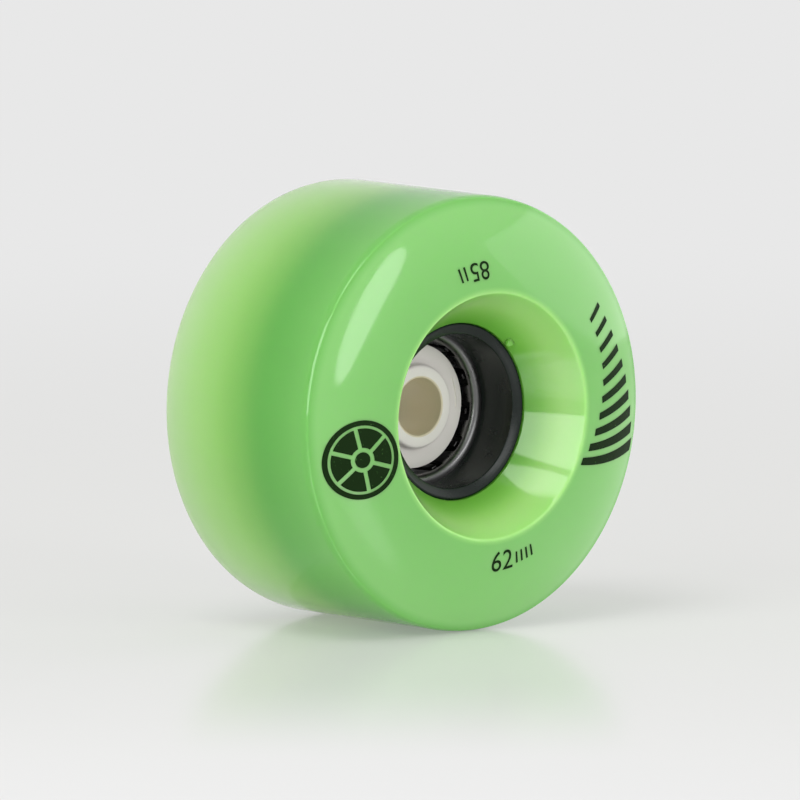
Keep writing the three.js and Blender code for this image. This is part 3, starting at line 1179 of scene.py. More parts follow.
@dataclass
class Tyre:
    """The cast urethane, with a pocket for each light and the trimmed gate of the mould."""

    cad: CadSizes
    core: Core
    tread_width: float = 31.0
    shoulder_radius: float = 4.0  # the tread's wide round towards the lip
    shoulder_turn: float = 20.0
    lip_radius: float = 0.45  # the tight edge between the tread and the face
    lip_turn: float = 57.0
    face_crown: float = 0.8
    rim_radius: float = 17.5
    rim_round: float = 0.4
    dish_sag: float = 0.22
    pocket_radius: float = 2.3
    pocket_depth: float = 4.1
    light_count: int = 6
    light_phase: float = 30.0
    board_gap: float = 0.3  # round the light board's edge
    gate_angle: float = 45.0
    gate_radius: float = 0.7
    gate_shape: tuple[float, float, float] = (1.2, 0.9, 0.9)  # the nub against a plain ball
    gate_cut: float = 0.45  # from the nub's middle to where it is trimmed
    gate_out: float = 0.6  # from the core ring's corner to the nub's middle, outwards and forwards
    face: list[Point] = field(default_factory=list)

    def outside(self) -> list[Point]:
        """The back half of the surface that shows, from the lip over the face into the dish.

        Returns:
            The outline, from the outside in.
        """
        half, radius = self.tread_width / 2, self.cad.wheel_radius
        turn = math.radians(self.shoulder_turn)
        spread = self.shoulder_radius - self.lip_radius
        middle = half - self.lip_radius * math.sin(math.radians(self.lip_turn)) - spread * math.sin(turn)
        shoulder = arc(
            radius - self.shoulder_radius, middle, self.shoulder_radius, 0, self.shoulder_turn, 5)
        centre = (
            radius - self.shoulder_radius + spread * math.cos(turn), middle + spread * math.sin(turn))
        lip = [
            *shoulder[:-1],
            *arc(*centre, self.lip_radius, self.shoulder_turn, self.lip_turn, 6),
        ]
        rim = (self.rim_radius, self.cad.half_hub)
        foot = (self.core.ring_radius + SEAM, self.cad.ring_face)
        face = bow(lip[-1], rim, -self.face_crown, 24)
        dish = bow(rim, foot, self.dish_sag, 18)
        clear = 1.2 * self.rim_round
        face = [p for p in face if math.dist(p, rim) > clear]
        dish = [p for p in dish if math.dist(p, rim) > clear]
        edge = fillet(face[-1], (*rim, self.rim_round), dish[0], 8)
        self.face = [lip[-1], *face, *edge]
        return [*lip, *face, *edge, *dish]

    def height(self, radius: float) -> float:
        """How far the printed face lies from the wheel's middle, at a radius in millimetres.

        Args:
            radius: The radius.

        Returns:
            The distance, in millimetres.
        """
        for (outer, low), (inner, high) in zip(self.face, self.face[1:]):
            if inner <= radius <= outer:
                share = (outer - radius) / (outer - inner)
                return low + (high - low) * share
        raise ValueError(f"radius {radius} mm isn't on the face")

    def ring(self) -> Workpiece:
        """The whole ring, cast round the core and the light board.

        Returns:
            The ring, without the pockets.
        """
        bore = rounded([(0.0, self.cad.ring_face, 0.0), *self.core.grip(SEAM)])[1:]
        groove = self.cad.board_outer + self.board_gap
        half = [*self.outside(), *bore, (groove, self.cad.drum_end)]
        return Workpiece.turned(both_sides(half))

    def pockets(self) -> bpy.types.Object:
        """The pockets' shapes, as one cutter.

        Returns:
            The cutter.
        """
        rods = Workpiece()
        start, end = self.cad.drum_outer, self.cad.board_outer + self.board_gap + self.pocket_depth
        across = Matrix.Translation(((start + end) / 2, 0, 0)) @ Matrix.Rotation(math.pi / 2, 4, "Y")
        for i in range(self.light_count):
            outwards = turn_to(self.light_phase + i * 360 / self.light_count)
            rods.add_rod(self.pocket_radius, end - start, 32, outwards @ across)
        return stand("pocket_cutter", rods.to_mesh("pocket_cutter"))

    def gate(self) -> Workpiece:
        """The nub of urethane where the mould was filled, trimmed flat.

        Returns:
            The nub.
        """
        nub = Workpiece()
        at = polar(
            self.core.ring_radius + self.gate_out, self.gate_angle, -self.cad.ring_face - self.gate_out)
        bmesh.ops.create_uvsphere(nub.bm, u_segments=24, v_segments=16, radius=self.gate_radius)
        bmesh.ops.scale(nub.bm, vec=self.gate_shape, verts=nub.bm.verts[:])
        nub.slice(Vector((0, -self.gate_cut, 0)), Vector((0, -1, 0)), trim=True)
        bmesh.ops.holes_fill(nub.bm, edges=[edge for edge in nub.bm.edges if edge.is_boundary])
        nub.move(Matrix.Translation(at) @ turn_to(self.gate_angle))
        return nub

    def build(self, finish: Finish) -> None:
        """Makes the tyre and cuts the pockets in it.

        Args:
            finish: The urethane.
        """
        tyre = self.ring().placed("tyre_cast", finish, Body.WHEEL, "urethane", "tyre")
        cutter = self.pockets()
        cut = tyre.modifiers.new("pockets", "BOOLEAN")
        cut.operation, cut.solver, cut.object = "DIFFERENCE", "EXACT", cutter
        depsgraph = bpy.context.evaluated_depsgraph_get()
        mesh = bpy.data.meshes.new_from_object(tyre.evaluated_get(depsgraph))
        tyre.modifiers.clear()
        tyre.data = mesh
        bpy.data.objects.remove(cutter)
        self.gate().placed("gate_nub", finish, Body.WHEEL, "urethane")


@dataclass
class CoilHalf:
    """The generator's half that turns with the wheel: claw plates, yoke, bobbin and winding."""

    cad: CadSizes
    sheet: float = 0.6
    claw_count: int = 12
    claw_phase: float = 6.6
    root_width: float = 14.7
    tip_width: float = 5.0
    claw_radius: float = 9.6
    bend_radius: float = 1.15
    gap_start: float = 80.0  # degrees of the bend that are left whole before the gaps begin
    columns: int = 8  # flats from one claw to the next
    edge_round: float = 0.07
    wall: float = 0.5
    gap: float = 0.3
    wire: float = 0.28
    lead_radius: float = 0.25
    lead_spread: float = 0.8
    window_width: float = 3.2

    def crown_outline(self) -> list[Point]:
        """The sheet's face towards the bearing and the rotor, from the rim to the claws' tips.

        Returns:
            The outline.
        """
        bend_end = self.cad.shoulder - self.bend_radius
        bend = arc(self.claw_radius + self.bend_radius, bend_end, self.bend_radius, 90, 180, 9)
        rows = [bend_end - (bend_end + self.cad.claw_tip) * i / 6 for i in range(1, 7)]
        claws = [(self.claw_radius, y) for y in rows]
        return [(self.cad.yoke_outer, self.cad.shoulder), *bend, *claws]

    def crown(self, side: Side, phase: float) -> Workpiece:
        """One claw plate.

        Args:
            side: The side of the wheel that it belongs to.
            phase: Angle of its first claw.

        Returns:
            The plate, bent over into a crown of tapered claws.
        """
        pitch = 360 / self.claw_count
        outline = on_side(self.crown_outline(), side)
        plate = Workpiece.turned(outline, self.claw_count * self.columns, closed=False)
        bm, shoulder = plate.bm, self.cad.shoulder
        bend_end = shoulder - self.bend_radius
        gap_top = bend_end + self.bend_radius * math.cos(math.radians(self.gap_start))

        def off_claw(point: Vector) -> float:
            """Angle from the middle of the nearest claw, before the plate is turned."""
            angle = math.degrees(math.atan2(point.z, point.x))
            return (angle + pitch / 2) % pitch - pitch / 2

        plate.drop_faces([
            face for face in bm.faces
            if abs(off_claw(face.calc_center_median())) > pitch / 4
            and face.calc_center_median().y * side.value < gap_top
        ])
        for vert in bm.verts:
            height = vert.co.y * side.value
            if height > gap_top - 0.01:
                continue
            down = max(0.0, (bend_end - height) / (bend_end + self.cad.claw_tip))
            width = self.root_width + (self.tip_width - self.root_width) * down
            away = off_claw(vert.co)
            vert.co = turn_to(away * (2 * width / pitch - 1)) @ vert.co
        rim = max(bm.faces, key=lambda face: math.hypot(*face.calc_center_median().xz))
        plate.face_out(rim.normal.y * side.value >= 0)
        plate.thicken(self.sheet)
        plate.soften(self.edge_round, 2, 55.0)
        plate.move(turn_to(phase))
        return plate

    def yoke(self) -> Workpiece:
        """The rolled strip that joins the plates, with the winding's window in it.

        Returns:
            The yoke.
        """
        half = self.cad.stack_half
        rows = [half - i * half / 4 for i in range(9)]
        strip = Workpiece.turned([(self.cad.yoke_outer, y) for y in rows], HIDDEN_STEPS, closed=False)
        strip.drop_faces([
            face for face in strip.bm.faces
            if face.calc_center_median().y < self.cad.board_half + self.gap
            and face.calc_center_median().z > 0
            and abs(face.calc_center_median().x) < self.window_width / 2
        ])
        first = strip.bm.faces[:][0]
        strip.face_out(first.normal.dot(first.calc_center_median()) >= 0)
        strip.thicken(self.sheet)
        strip.soften(0.06, 2, 55.0)
        return strip

    def bobbin(self) -> Workpiece:
        """The reel that the wire is wound on.

        Returns:
            The bobbin.
        """
        cad = self.cad
        inner, flange = self.claw_radius + self.sheet + self.gap, cad.stack_half - self.wall
        half = [
            (inner, cad.stack_half, 0.1),
            (cad.bobbin_outer, cad.stack_half, 0.15),
            (cad.bobbin_outer, flange, 0.1),
            (inner + self.wall, flange, 0.1),
        ]
        mirror = [(r, -y, radius) for r, y, radius in reversed(half)]
        return Workpiece.turned(rounded([*half, *mirror], 3), HIDDEN_STEPS)

    def winding(self) -> Workpiece:
        """The wire, laid in neat turns whose crowns show on the outside.

        Returns:
            The winding, as one solid.
        """
        cad = self.cad
        inner = self.claw_radius + self.sheet + self.wall + 2 * self.gap
        turns = round(2 * cad.winding_half / self.wire)
        pitch = 2 * cad.winding_half / turns
        outline = []
        for i in range(turns):
            middle = cad.winding_half - pitch * (i + 0.5)
            outline += arc(cad.winding_outer - pitch / 2, middle, pitch / 2, 75, -75, 4)
        inside = [(inner, -cad.winding_half), (inner, cad.winding_half)]
        return Workpiece.turned([*outline, *inside], HIDDEN_STEPS)

    def lead(self, side: int) -> Workpiece:
        """One end of the wire, on its way out through the window.

        Args:
            side: -1 for the start of the wire and 1 for its end.

        Returns:
            The lead.
        """
        lead = Workpiece()
        start, end = self.cad.winding_outer, self.cad.yoke_outer + self.gap
        middle = Matrix.Translation((side * self.lead_spread, 0, (start + end) / 2))
        lead.add_rod(self.lead_radius, end - start, 16, middle)
        lead.soften(0.06)
        return lead

    def build(self, steel: Finish, rolled: Finish, reel: Finish, copper: Finish) -> None:
        """Makes every piece of it.

        Args:
            steel: Finish of the claw plates.
            rolled: Finish of the yoke.
            reel: Finish of the bobbin.
            copper: Finish of the wire.
        """
        half_pitch = 180 / self.claw_count
        for side, phase in zip(Side, (self.claw_phase, self.claw_phase + half_pitch)):
            self.crown(side, phase).placed(
                f"claw_crown_{side.word}", steel, Body.WHEEL, "claw_steel", f"claw_plate_{side.word}")
        self.yoke().placed("yoke_strip", rolled, Body.WHEEL, "yoke_steel", "yoke_ring")
        self.bobbin().placed("coil_reel", reel, Body.WHEEL, "bobbin_plastic", "coil_bobbin")
        self.winding().placed("coil_turns", copper, Body.WHEEL, "winding_copper", "coil_winding")
        for side, end in ((-1, "start"), (1, "end")):
            self.lead(side).placed(
                f"wire_{end}", copper, Body.WHEEL, "winding_copper", f"coil_lead_{end}")


@dataclass
class LightRing:
    """The circuit board round the core, and the lights that stand outwards on its edge."""

    cad: CadSizes
    count: int = 6
    phase: float = 30.0
    radius: float = 1.5
    flange_radius: float = 1.9
    flange: float = 0.6
    stem: float = 1.6
    seat_gap: float = 0.3

    def light(self, angle: float) -> Workpiece:
        """One domed light, lying outwards at an angle.

        Args:
            angle: The angle.

        Returns:
            The light.
        """
        dome_start = self.flange + self.stem
        body = [
            (self.flange_radius, 0.0, 0.05),
            (self.flange_radius, self.flange, 0.12),
            (self.radius, self.flange, 0.08),
        ]
        base = rounded([(0.0, 0.0, 0.0), *body, (self.radius, dome_start, 0.0)], 3)
        dome = arc(0, dome_start, self.radius, 0, 90, 10)[1:]
        light = Workpiece.turned([*base, *dome], 32, closed=False)
        outwards = Matrix.Translation((self.cad.board_outer + self.seat_gap, 0, 0))
        lie_down = Matrix.Rotation(-math.pi / 2, 4, "Z")
        light.move(turn_to(angle) @ outwards @ lie_down)
        return light

    def build(self, lens: Finish, board: Finish, nodes: dict) -> None:
        """Makes the lights and dresses the board.

        Args:
            lens: Finish of the lights.
            board: Finish of the board.
            nodes: The frame's objects by node name.
        """
        for i in range(self.count):
            self.light(self.phase + i * 360 / self.count).placed(
                f"light_{i + 1}", lens, Body.WHEEL, "led_lens", f"led_{i + 1}")
        plate = nodes["led_board"]
        for slot in plate.material_slots:
            slot.material = board.material()
        log.info("led_board: dressed as it is")


@dataclass
class MagnetHalf:
    """The generator's half that stands still: a magnet between two flanges, on the axle's spacer."""

    cad: CadSizes
    bore: float = 4.1
    tube: float = 6.0
    flange: float = 0.6
    gap: float = 0.3
    mark_inner: float = 7.45
    mark_outer: float = 7.95
    mark_from: float = -6.0  # the first angle of the pressed arc
    mark_to: float = 27.0
    mark_depth: float = 0.2

    def sleeve(self) -> Workpiece:
        """The spacer tube and its front flange, with a short arc pressed into the flange.

        Returns:
            The sleeve.
        """
        cad = self.cad
        front, end = cad.spacer_front, cad.spacer_back
        face, back = cad.flange_face, cad.flange_face - self.flange
        outline = rounded([
            (self.bore, front, 0.22),
            (self.tube, front, 0.45),
            (self.tube, -face, 0.35),
            (self.mark_inner, -face, 0.0),
            (self.mark_outer, -face, 0.0),
            (cad.flange_radius, -face, 0.14),
            (cad.flange_radius, -back, 0.1),
            (self.tube, -back, 0.0),
            (self.tube, end, 0.3),
            (self.bore, end, 0.1),
        ])
        sleeve = Workpiece.turned(outline)
        pressed = []
        for spot in sleeve.bm.faces:
            centre = spot.calc_center_median()
            angle = math.degrees(math.atan2(centre.z, centre.x))
            on_ring = self.mark_inner < math.hypot(centre.x, centre.z) < self.mark_outer
            if on_ring and abs(centre.y + face) < 0.01 and self.mark_from < angle < self.mark_to:
                pressed.append(spot)
        sleeve.draw_out(pressed, self.mark_depth)
        lid = [spot for spot in pressed if spot.is_valid]
        bmesh.ops.delete(sleeve.bm, geom=lid, context="FACES_ONLY")
        sleeve.mend()
        return sleeve

    def back_flange(self) -> Workpiece:
        """The loose flange behind the magnet.

        Returns:
            The flange.
        """
        face, inner = self.cad.flange_face, self.tube + self.gap
        return Workpiece.turned(rounded([
            (inner, face - self.flange, 0.05),
            (self.cad.flange_radius, face - self.flange, 0.1),
            (self.cad.flange_radius, face, 0.14),
            (inner, face, 0.08),
        ]))

    def magnet(self) -> Workpiece:
        """The ring magnet.

        Returns:
            The magnet.
        """
        half, inner = self.cad.magnet_half, self.tube + self.gap
        return Workpiece.turned(rounded([
            (inner, half, 0.15),
            (inner, -half, 0.15),
            (self.cad.magnet_radius, -half, 0.2),
            (self.cad.magnet_radius, half, 0.2),
        ], 2), HIDDEN_STEPS)

    def build(self, plastic: Finish, ferrite: Finish) -> None:
        """Makes the sleeve, the loose flange and the magnet.

        Args:
            plastic: Finish of the sleeve and the flange.
            ferrite: Finish of the magnet.
        """
        self.sleeve().placed(
            "spacer_tube", plastic, Body.SPACER, "spacer_plastic", "spacer_sleeve")
        self.back_flange().placed(
            "back_flange", plastic, Body.SPACER, "spacer_plastic", "spacer_back_flange")
        self.magnet().placed("ring_magnet", ferrite, Body.SPACER, "magnet", "magnet_ring")


@dataclass
class FacePrint:
    """The ink on the front face: a plain wheel sign, a fan of bars, and two numbers with ticks."""

    tyre: Tyre
    lift: float = 0.03  # the ink's surface over the urethane
    film: float = 0.02
    dice: float = 0.6  # the ink is cut into pieces this small, so that it follows the face
    sign_radius: float = 5.65
    sign_place: tuple[float, float] = (23.6, -169.0)  # radius and angle of the sign's middle
    sign_rings: tuple[float, ...] = (0.0, 0.2, 0.31, 0.42, 0.62, 0.8, 0.87, 1.0)  # shares of its radius
    sign_gaps: tuple[Span, ...] = ((0.2, 0.31), (0.8, 0.87))  # the rings without ink
    spoke_reach: Span = (0.25, 0.85)  # from the hub to the rim, in shares of the sign's radius
    spoke_count: int = 3  # spokes that go right across
    spoke_gap: float = 0.6
    spoke_angle: float = 15.0
    number_radius: float = 21.0
    capital_share: float = 0.7  # a digit's height against the size of its type
    tick_width: float = 0.32
    tick_pitch: float = 0.95
    bar_count: int = 10
    bar_radius: float = 24.2
    bar_angles: Span = (33.0, -18.5)  # of the first bar and of the last
    bar_heights: Span = (3.2, 8.2)  # of the first bar, and what the last one has more
    bar_widths: Span = (0.7, 0.75)  # likewise
    bar_slants: Span = (-0.15, -0.3)  # likewise
    bar_growth: float = 1.6  # over 1, the bars get longer faster near the end

    def lay(self, drawing: Workpiece, place: Callable[[float, float], Point]) -> Workpiece:
        """Lays a flat drawing on the face.

        Args:
            drawing: A mesh in the plane of X and Z.
            place: Gives the (x, z) on the face for an (x, z) of the drawing.

        Returns:
            The film of ink.
        """
        bm = drawing.bm
        for axis in (0, 2):
            spots = [vert.co[axis] for vert in bm.verts]
            normal = Vector((1, 0, 0)) if axis == 0 else Vector((0, 0, 1))
            for k in range(math.ceil(min(spots) / self.dice), math.floor(max(spots) / self.dice) + 1):
                drawing.slice(normal * (k * self.dice), normal)
        for vert in bm.verts:
            x, z = place(vert.co.x, vert.co.z)
            vert.co = (x, -self.tyre.height(math.hypot(x, z)) - self.lift, z)
        bmesh.ops.recalc_face_normals(bm, faces=bm.faces[:])
        drawing.face_out(sum(face.normal.y for face in bm.faces) <= 0)
        drawing.draw_out(bm.faces[:], self.film, keep=True)
        bmesh.ops.recalc_face_normals(bm, faces=bm.faces[:])
        return drawing

    def along(self, radius: float, middle: float, u: float, v: float) -> Point:
        """A place on the face for a point of a drawing that is bent round the axle.

        Args:
            radius: Radius of the drawing's base line.
            middle: Angle of the drawing's origin.
            u: Distance along the base line.
            v: Height over the base line, towards the axle.

        Returns:
            x and z on the face.
        """
        spot = polar(radius - v, middle + math.degrees(u / radius))
        return spot.x, spot.z

    def number(self, digits: str, height: float) -> Workpiece:
        """Digits, set upright in the plane of X and Z and centred on the origin.

        Args:
            digits: The digits.
            height: Their height.

        Returns:
            The drawing.
        """
        font = bpy.data.curves.new("digits", "FONT")
        font.body, font.align_x, font.align_y = digits, "CENTER", "CENTER"
        font.size, font.resolution_u = height / self.capital_share, 8
        text = bpy.data.objects.new("digits", font)
        mesh = bpy.data.meshes.new_from_object(text)
        drawn = Workpiece()
        drawn.bm.from_mesh(mesh)
        drawn.move(Matrix.Rotation(math.pi / 2, 4, "X"))
        bpy.data.objects.remove(text)
        bpy.data.curves.remove(font)
        bpy.data.meshes.remove(mesh)
        return drawn

    def wheel_sign(self) -> Workpiece:
        """A disc cut like a plain wheel: a rim, sectors between the spokes and a hub.

        Returns:
            The drawing.
        """
        radius, gap = self.sign_radius, self.spoke_gap
        sign = Workpiece.turned([(radius * share, 0.0) for share in self.sign_rings], 96, closed=False)
        sign.drop_faces([
            face for face in sign.bm.faces
            if any(a < face.calc_center_median().length / radius < b for a, b in self.sign_gaps)
        ])
        inner, outer = self.spoke_reach
        for i in range(self.spoke_count):
            across = polar(1.0, 180 * i / self.spoke_count + self.spoke_angle)
            for shift in (-gap / 2, gap / 2):
                sign.slice(across * shift, across)
            sign.drop_faces([
                face for face in sign.bm.faces
                if abs(face.calc_center_median().dot(across)) < gap / 2
                and inner < face.calc_center_median().length / radius < outer
            ])
        return sign

    def add_strip(
        self, drawing: Workpiece, width: float, height: float, middle: float = 0.0, cells: int = 1
    ) -> None:
        """Adds an upright strip to a drawing.

        Args:
            drawing: The drawing.
            width: The strip's width.
            height: Its height.
            middle: Place of its middle.
            cells: Number of cells across it. It has three times as many upwards.
        """
        size = Matrix.Rotation(math.pi / 2, 4, "X") @ Matrix.Diagonal((width, height, 1, 1))
        place = Matrix.Translation((middle, 0, 0)) @ size
        bmesh.ops.create_grid(
            drawing.bm, x_segments=cells, y_segments=3 * cells, size=0.5, matrix=place)

    def bar(self, width: float, height: float, slant: float) -> Workpiece:
        """One slanted bar, centred on the base line.

        Args:
            width: The bar's width.
            height: Its height.
            slant: How far it leans sideways for each millimetre of height.

        Returns:
            The drawing.
        """
        bar = Workpiece()
        self.add_strip(bar, width, height, cells=2)
        lean = Matrix.Identity(4)
        lean[0][2] = slant
        bar.move(lean)
        return bar

    def ticks(self, count: int, height: float, start: float) -> Workpiece:
        """A row of short ticks that follows a number.

        Args:
            count: Number of ticks.
            height: Height of a tick.
            start: Place of the first one, from the number's middle.

        Returns:
            The drawing.
        """
        row = Workpiece()
        for i in range(count):
            self.add_strip(row, self.tick_width, height, start + i * self.tick_pitch)
        return row

    def build(self, ink: Finish) -> None:
        """Prints everything on the front face.

        Args:
            ink: The ink.
        """
        at = polar(*self.sign_place)
        self.lay(self.wheel_sign(), lambda x, z: (at.x + x, at.z + z)).placed(
            "print_wheel_sign", ink, Body.WHEEL)
        for name, drawing, middle in (
            ("print_diameter", self.number("62", 2.9), -84.0),
            ("print_diameter_ticks", self.ticks(4, 1.7, 2.75), -84.0),
            ("print_hardness", self.number("85", 2.6), 95.5),
            ("print_hardness_ticks", self.ticks(2, 2.0, 2.6), 95.5),
        ):
            self.wrap(name, drawing, self.number_radius, middle, ink)
        first, last = self.bar_angles
        for i in range(self.bar_count):
            share = i / (self.bar_count - 1)
            width = self.bar_widths[0] + self.bar_widths[1] * share
            height = self.bar_heights[0] + self.bar_heights[1] * share ** self.bar_growth
            slant = self.bar_slants[0] + self.bar_slants[1] * share
            bar = self.bar(width, height, slant)
            self.wrap(f"print_bar_{i + 1}", bar, self.bar_radius, first + (last - first) * share, ink)

    def wrap(self, name: str, drawing: Workpiece, radius: float, middle: float, ink: Finish) -> None:
        """Prints a drawing that is bent round the axle.

        Args:
            name: The piece's name.
            drawing: The drawing.
            radius: Radius of its base line.
            middle: Angle of its origin.
            ink: The ink.
        """
        film = self.lay(drawing, lambda x, z: self.along(radius, middle, x, z))
        film.placed(name, ink, Body.WHEEL)


# ---- The studio ----


@dataclass
class Softbox:
    """An area lamp that faces the wheel. Its sizes are in metres and its angles in degrees."""

    name: str
    azimuth: float
    elevation: float
    distance: float
    width: float
    height: float
    radiance: float  # how bright it is for what is matt
    glint: float  # how bright it is in what mirrors it
    roll: float = 0.0
    shape: str = "RECTANGLE"
    glint_gap: float = 0.03  # the mirrored lamp hangs this much nearer, so that the other doesn't hide it

    def build(self) -> None:
        """Hangs the lamp twice: once to light what is matt, and once to be mirrored by what is glossy."""
        self.hang(self.name, self.radiance, self.distance).visible_glossy = False
        glint = self.hang(f"{self.name}_glint", self.glint, self.distance - self.glint_gap)
        glint.visible_diffuse = False

    def hang(self, name: str, radiance: float, distance: float) -> bpy.types.Object:
        """Hangs one lamp.

        Args:
            name: The lamp's name.
            radiance: How bright its surface is.
            distance: How far it hangs from the wheel's centre.

        Returns:
            The lamp.
        """
        away = bearing(self.azimuth, self.elevation)
        lamp = bpy.data.lights.new(name, "AREA")
        lamp.shape, lamp.size, lamp.size_y = self.shape, self.width, self.height
        area = self.width * self.height * (math.pi / 4 if self.shape == "ELLIPSE" else 1)
        lamp.energy = radiance * area * math.pi
        box = stand(name, lamp)
        aim = (-away).to_track_quat("-Z", "Y").to_matrix().to_4x4()
        turn = Matrix.Rotation(math.radians(self.roll), 4, "Z")
        box.matrix_world = Matrix.Translation(away * distance) @ aim @ turn
        box.visible_camera = False
        log.info("%s hangs at %.2f m", name, distance)
        return box


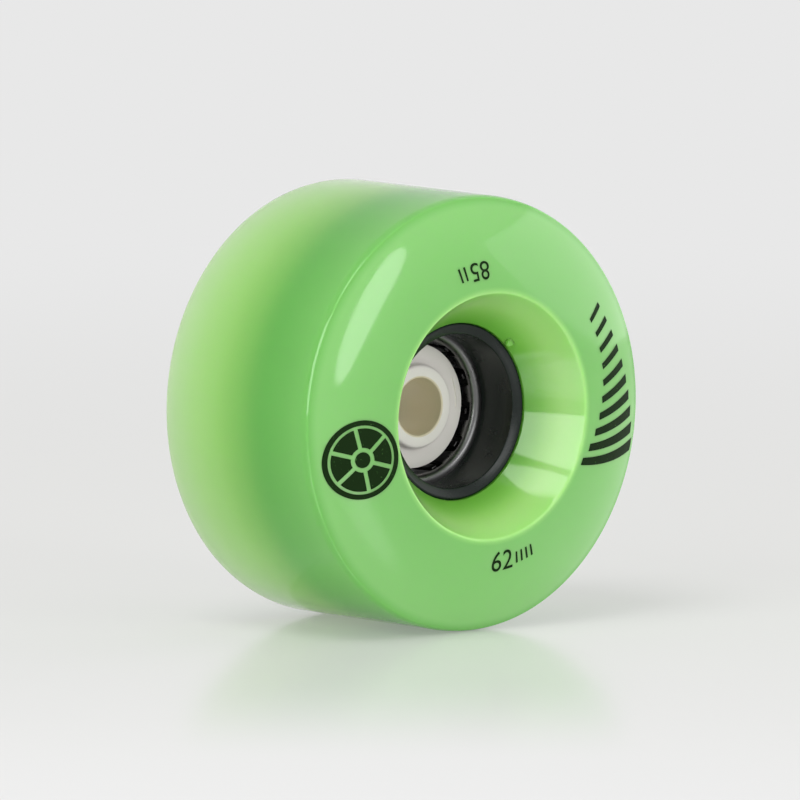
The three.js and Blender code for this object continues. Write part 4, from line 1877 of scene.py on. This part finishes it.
@dataclass
class Studio:
    """The floor, the backdrop, the lamps and the camera."""

    cad: CadSizes
    camera_azimuth: float = -40.62
    camera_elevation: float = 6.636
    camera_distance: float = 2.6596
    aim: tuple[float, float, float] = (-0.000158, 0.000229, 0.000607)
    lens: float = 843.0
    backdrop: Colour = field(default_factory=lambda: linear(232, 232, 232))
    board_near: Colour = field(default_factory=lambda: linear(222, 222, 222))
    board_middle: Colour = field(default_factory=lambda: linear(218, 218, 216))
    board_far: Colour = field(default_factory=lambda: linear(218, 218, 216))
    board_mirror: float = 0.3
    board_roughness: float = 0.16
    board_glow: float = 0.45  # the share of the board's light that it gives off itself, a painted glow that lights the wheel from below and lifts its contact shadow
    board_lift: float = 1.4  # how much more of that light the matt surfaces get
    fill: float = 0.55
    floor_size: float = 12.0
    tone_places: tuple[float, ...] = (-0.2, -0.06, 0.08, 0.4)  # metres behind the wheel, for the tones
    mirror_from: Span = (-0.15, -0.06)  # metres behind the wheel where the board begins to mirror
    mirror_to: Span = (0.15, 0.6)  # metres round the wheel where it stops
    fade: Span = (0.1, 0.5)  # metres round the wheel where the board fades into the backdrop
    softboxes: tuple[Softbox, ...] = (
        Softbox(
            "front_strip", azimuth=3.3, elevation=20.0, distance=1.3, width=0.273, height=0.895,
            radiance=6.5, glint=4.4, roll=-38.0, shape="ELLIPSE",
        ),
        Softbox(
            "left_box", azimuth=-76.0, elevation=22.0, distance=1.0, width=0.90, height=0.78,
            radiance=2.2, glint=4.2,
        ),
        Softbox(
            "top_box", azimuth=-76.0, elevation=63.0, distance=1.0, width=0.56, height=0.46,
            radiance=6.6, glint=4.0, shape="ELLIPSE",
        ),
        Softbox(
            "right_fill", azimuth=80.0, elevation=14.0, distance=1.3, width=1.80, height=0.62,
            radiance=3.0, glint=0.9,
        ),
    )

    def world(self) -> None:
        """A grey fill for the surfaces, and a pale backdrop for what is seen or mirrored."""
        world = bpy.data.worlds.new("studio")
        bpy.context.scene.world = world
        shader = Shader(world)
        fill = (self.fill, self.fill, self.fill, 1.0)
        colour = shader.mix(shader.seen_by(*Seen), fill, self.backdrop)
        lit = shader.node("ShaderNodeBackground", None, {"Color": colour, "Strength": 1.0})
        shader.surface(lit, "ShaderNodeOutputWorld")

    def floor_material(self) -> bpy.types.Material:
        """A pale board that mirrors a little under the wheel, glows to light the wheel from below, and
        fades into the backdrop.

        Returns:
            The material.
        """
        made = bpy.data.materials.new("studio_floor")
        shader = Shader(made)
        x, y, _ = shader.axes()
        azimuth = math.radians(self.camera_azimuth)
        away = x * -math.sin(azimuth) + y * math.cos(azimuth)
        distance = (x * x + y * y) ** 0.5
        tones = (self.board_near, self.board_middle, self.board_far, self.board_far)
        board = shader.ramp(
            away, self.tone_places[0], self.tone_places[-1], list(zip(self.tone_places, tones)))
        seen = shader.seen_by(Seen.CAMERA, Seen.GLOSSY)
        lit_above = shader.node("ShaderNodeBsdfDiffuse", None, {"Color": board})
        # the board's own glow, painted light that fills the wheel's underside and its contact shadow
        lit_below = shader.node("ShaderNodeEmission", None, {
            "Color": board, "Strength": self.board_lift - (self.board_lift - 1) * seen})
        matt = shader.blend(self.board_glow, lit_above, lit_below)
        gloss = shader.node("ShaderNodeBsdfGlossy", None, {
            "Color": (1.0, 1.0, 1.0, 1.0), "Roughness": self.board_roughness,
        })
        under_wheel = shader.step(away, *self.mirror_from) * (1 - shader.step(distance, *self.mirror_to))
        lit = shader.blend(self.board_mirror * under_wheel, matt, gloss)
        glow = shader.node("ShaderNodeEmission", None, {"Color": self.backdrop, "Strength": 1.0})
        shader.surface(shader.blend(seen * shader.step(distance, *self.fade), lit, glow))
        return made

    def floor(self) -> None:
        """The floor that the tread stands on."""
        board = Workpiece()
        down = Matrix.Translation((0, 0, -self.cad.wheel_radius))
        half = self.floor_size / 2 / MM
        bmesh.ops.create_grid(board.bm, x_segments=1, y_segments=1, size=half, matrix=down)
        floor = stand("floor", board.to_mesh("floor"))
        floor.data.materials.append(self.floor_material())

    def camera(self) -> None:
        """A long lens, a little above the wheel and to the left of its face."""
        back = bearing(self.camera_azimuth, self.camera_elevation)
        data = bpy.data.cameras.new("camera")
        data.lens, data.sensor_width = self.lens, 36.0
        camera = stand("camera", data)
        camera.location = Vector(self.aim) + back * self.camera_distance
        camera.rotation_mode = "QUATERNION"
        camera.rotation_quaternion = (-back).to_track_quat("-Z", "Y")
        bpy.context.scene.camera = camera

    def build(self) -> None:
        """Sets the whole studio up."""
        self.camera()
        self.world()
        self.floor()
        for softbox in self.softboxes:
            softbox.build()
        bpy.context.scene.view_settings.view_transform = "Standard"


def main() -> None:
    """Builds the wheel round its frame, piece by piece."""
    logging.basicConfig(level=logging.INFO, format="%(name)s: %(message)s")
    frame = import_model()
    cad = CadSizes.read()
    core = Core(cad)
    tyre = Tyre(cad, core)
    core.build(MouldedPlastic("black_nylon", linear(15, 24, 21), 0.26, specular=0.28))
    tyre.build(Urethane(
        "milky_urethane", half_tread=tyre.tread_width / 2, ring_face=cad.ring_face,
        half_hub=cad.half_hub, rim_radius=tyre.rim_radius, radius=cad.wheel_radius,
    ))
    CoilHalf(cad).build(
        SheetSteel("drawn_steel", (0.15, 0.15, 0.15, 1.0), 0.29),
        SheetSteel("rolled_steel", (0.3, 0.3, 0.31, 1.0), 0.42),
        MouldedPlastic("reel_plastic", linear(22, 22, 22), 0.5),
        EnamelledWire("enamelled_copper", (0.43, 0.1, 0.03, 1.0)),
    )
    LightRing(cad).build(
        LightLens("light_epoxy", (0.8, 0.88, 0.78, 1.0)),
        CircuitBoard(
            "board_mask", mask=(0.014, 0.1, 0.04, 1.0), track=(0.05, 0.2, 0.07, 1.0),
            fibre=(0.5, 0.46, 0.3, 1.0), inner=cad.drum_outer - core.drum_wall,
            outer=cad.board_outer, half_thickness=cad.board_half,
        ),
        frame["nodes"],
    )
    MagnetHalf(cad).build(
        MouldedPlastic(
            "white_acetal", linear(243, 239, 233), 0.42, line_pitch=0.3, line_depth=0.003,
            # the spacer's bore is painted darker, as painted shade
            mottle=0.04, bore_shade_radius=4.3, tint=linear(227, 215, 188),
        ),
        SinteredMagnet("grey_ferrite", (0.05, 0.05, 0.055, 1.0)),
    )
    FacePrint(tyre).build(Ink("black_ink", linear(14, 36, 6), linear(70, 120, 55)))
    Studio(cad).build()


if __name__ == "__main__":
    main()
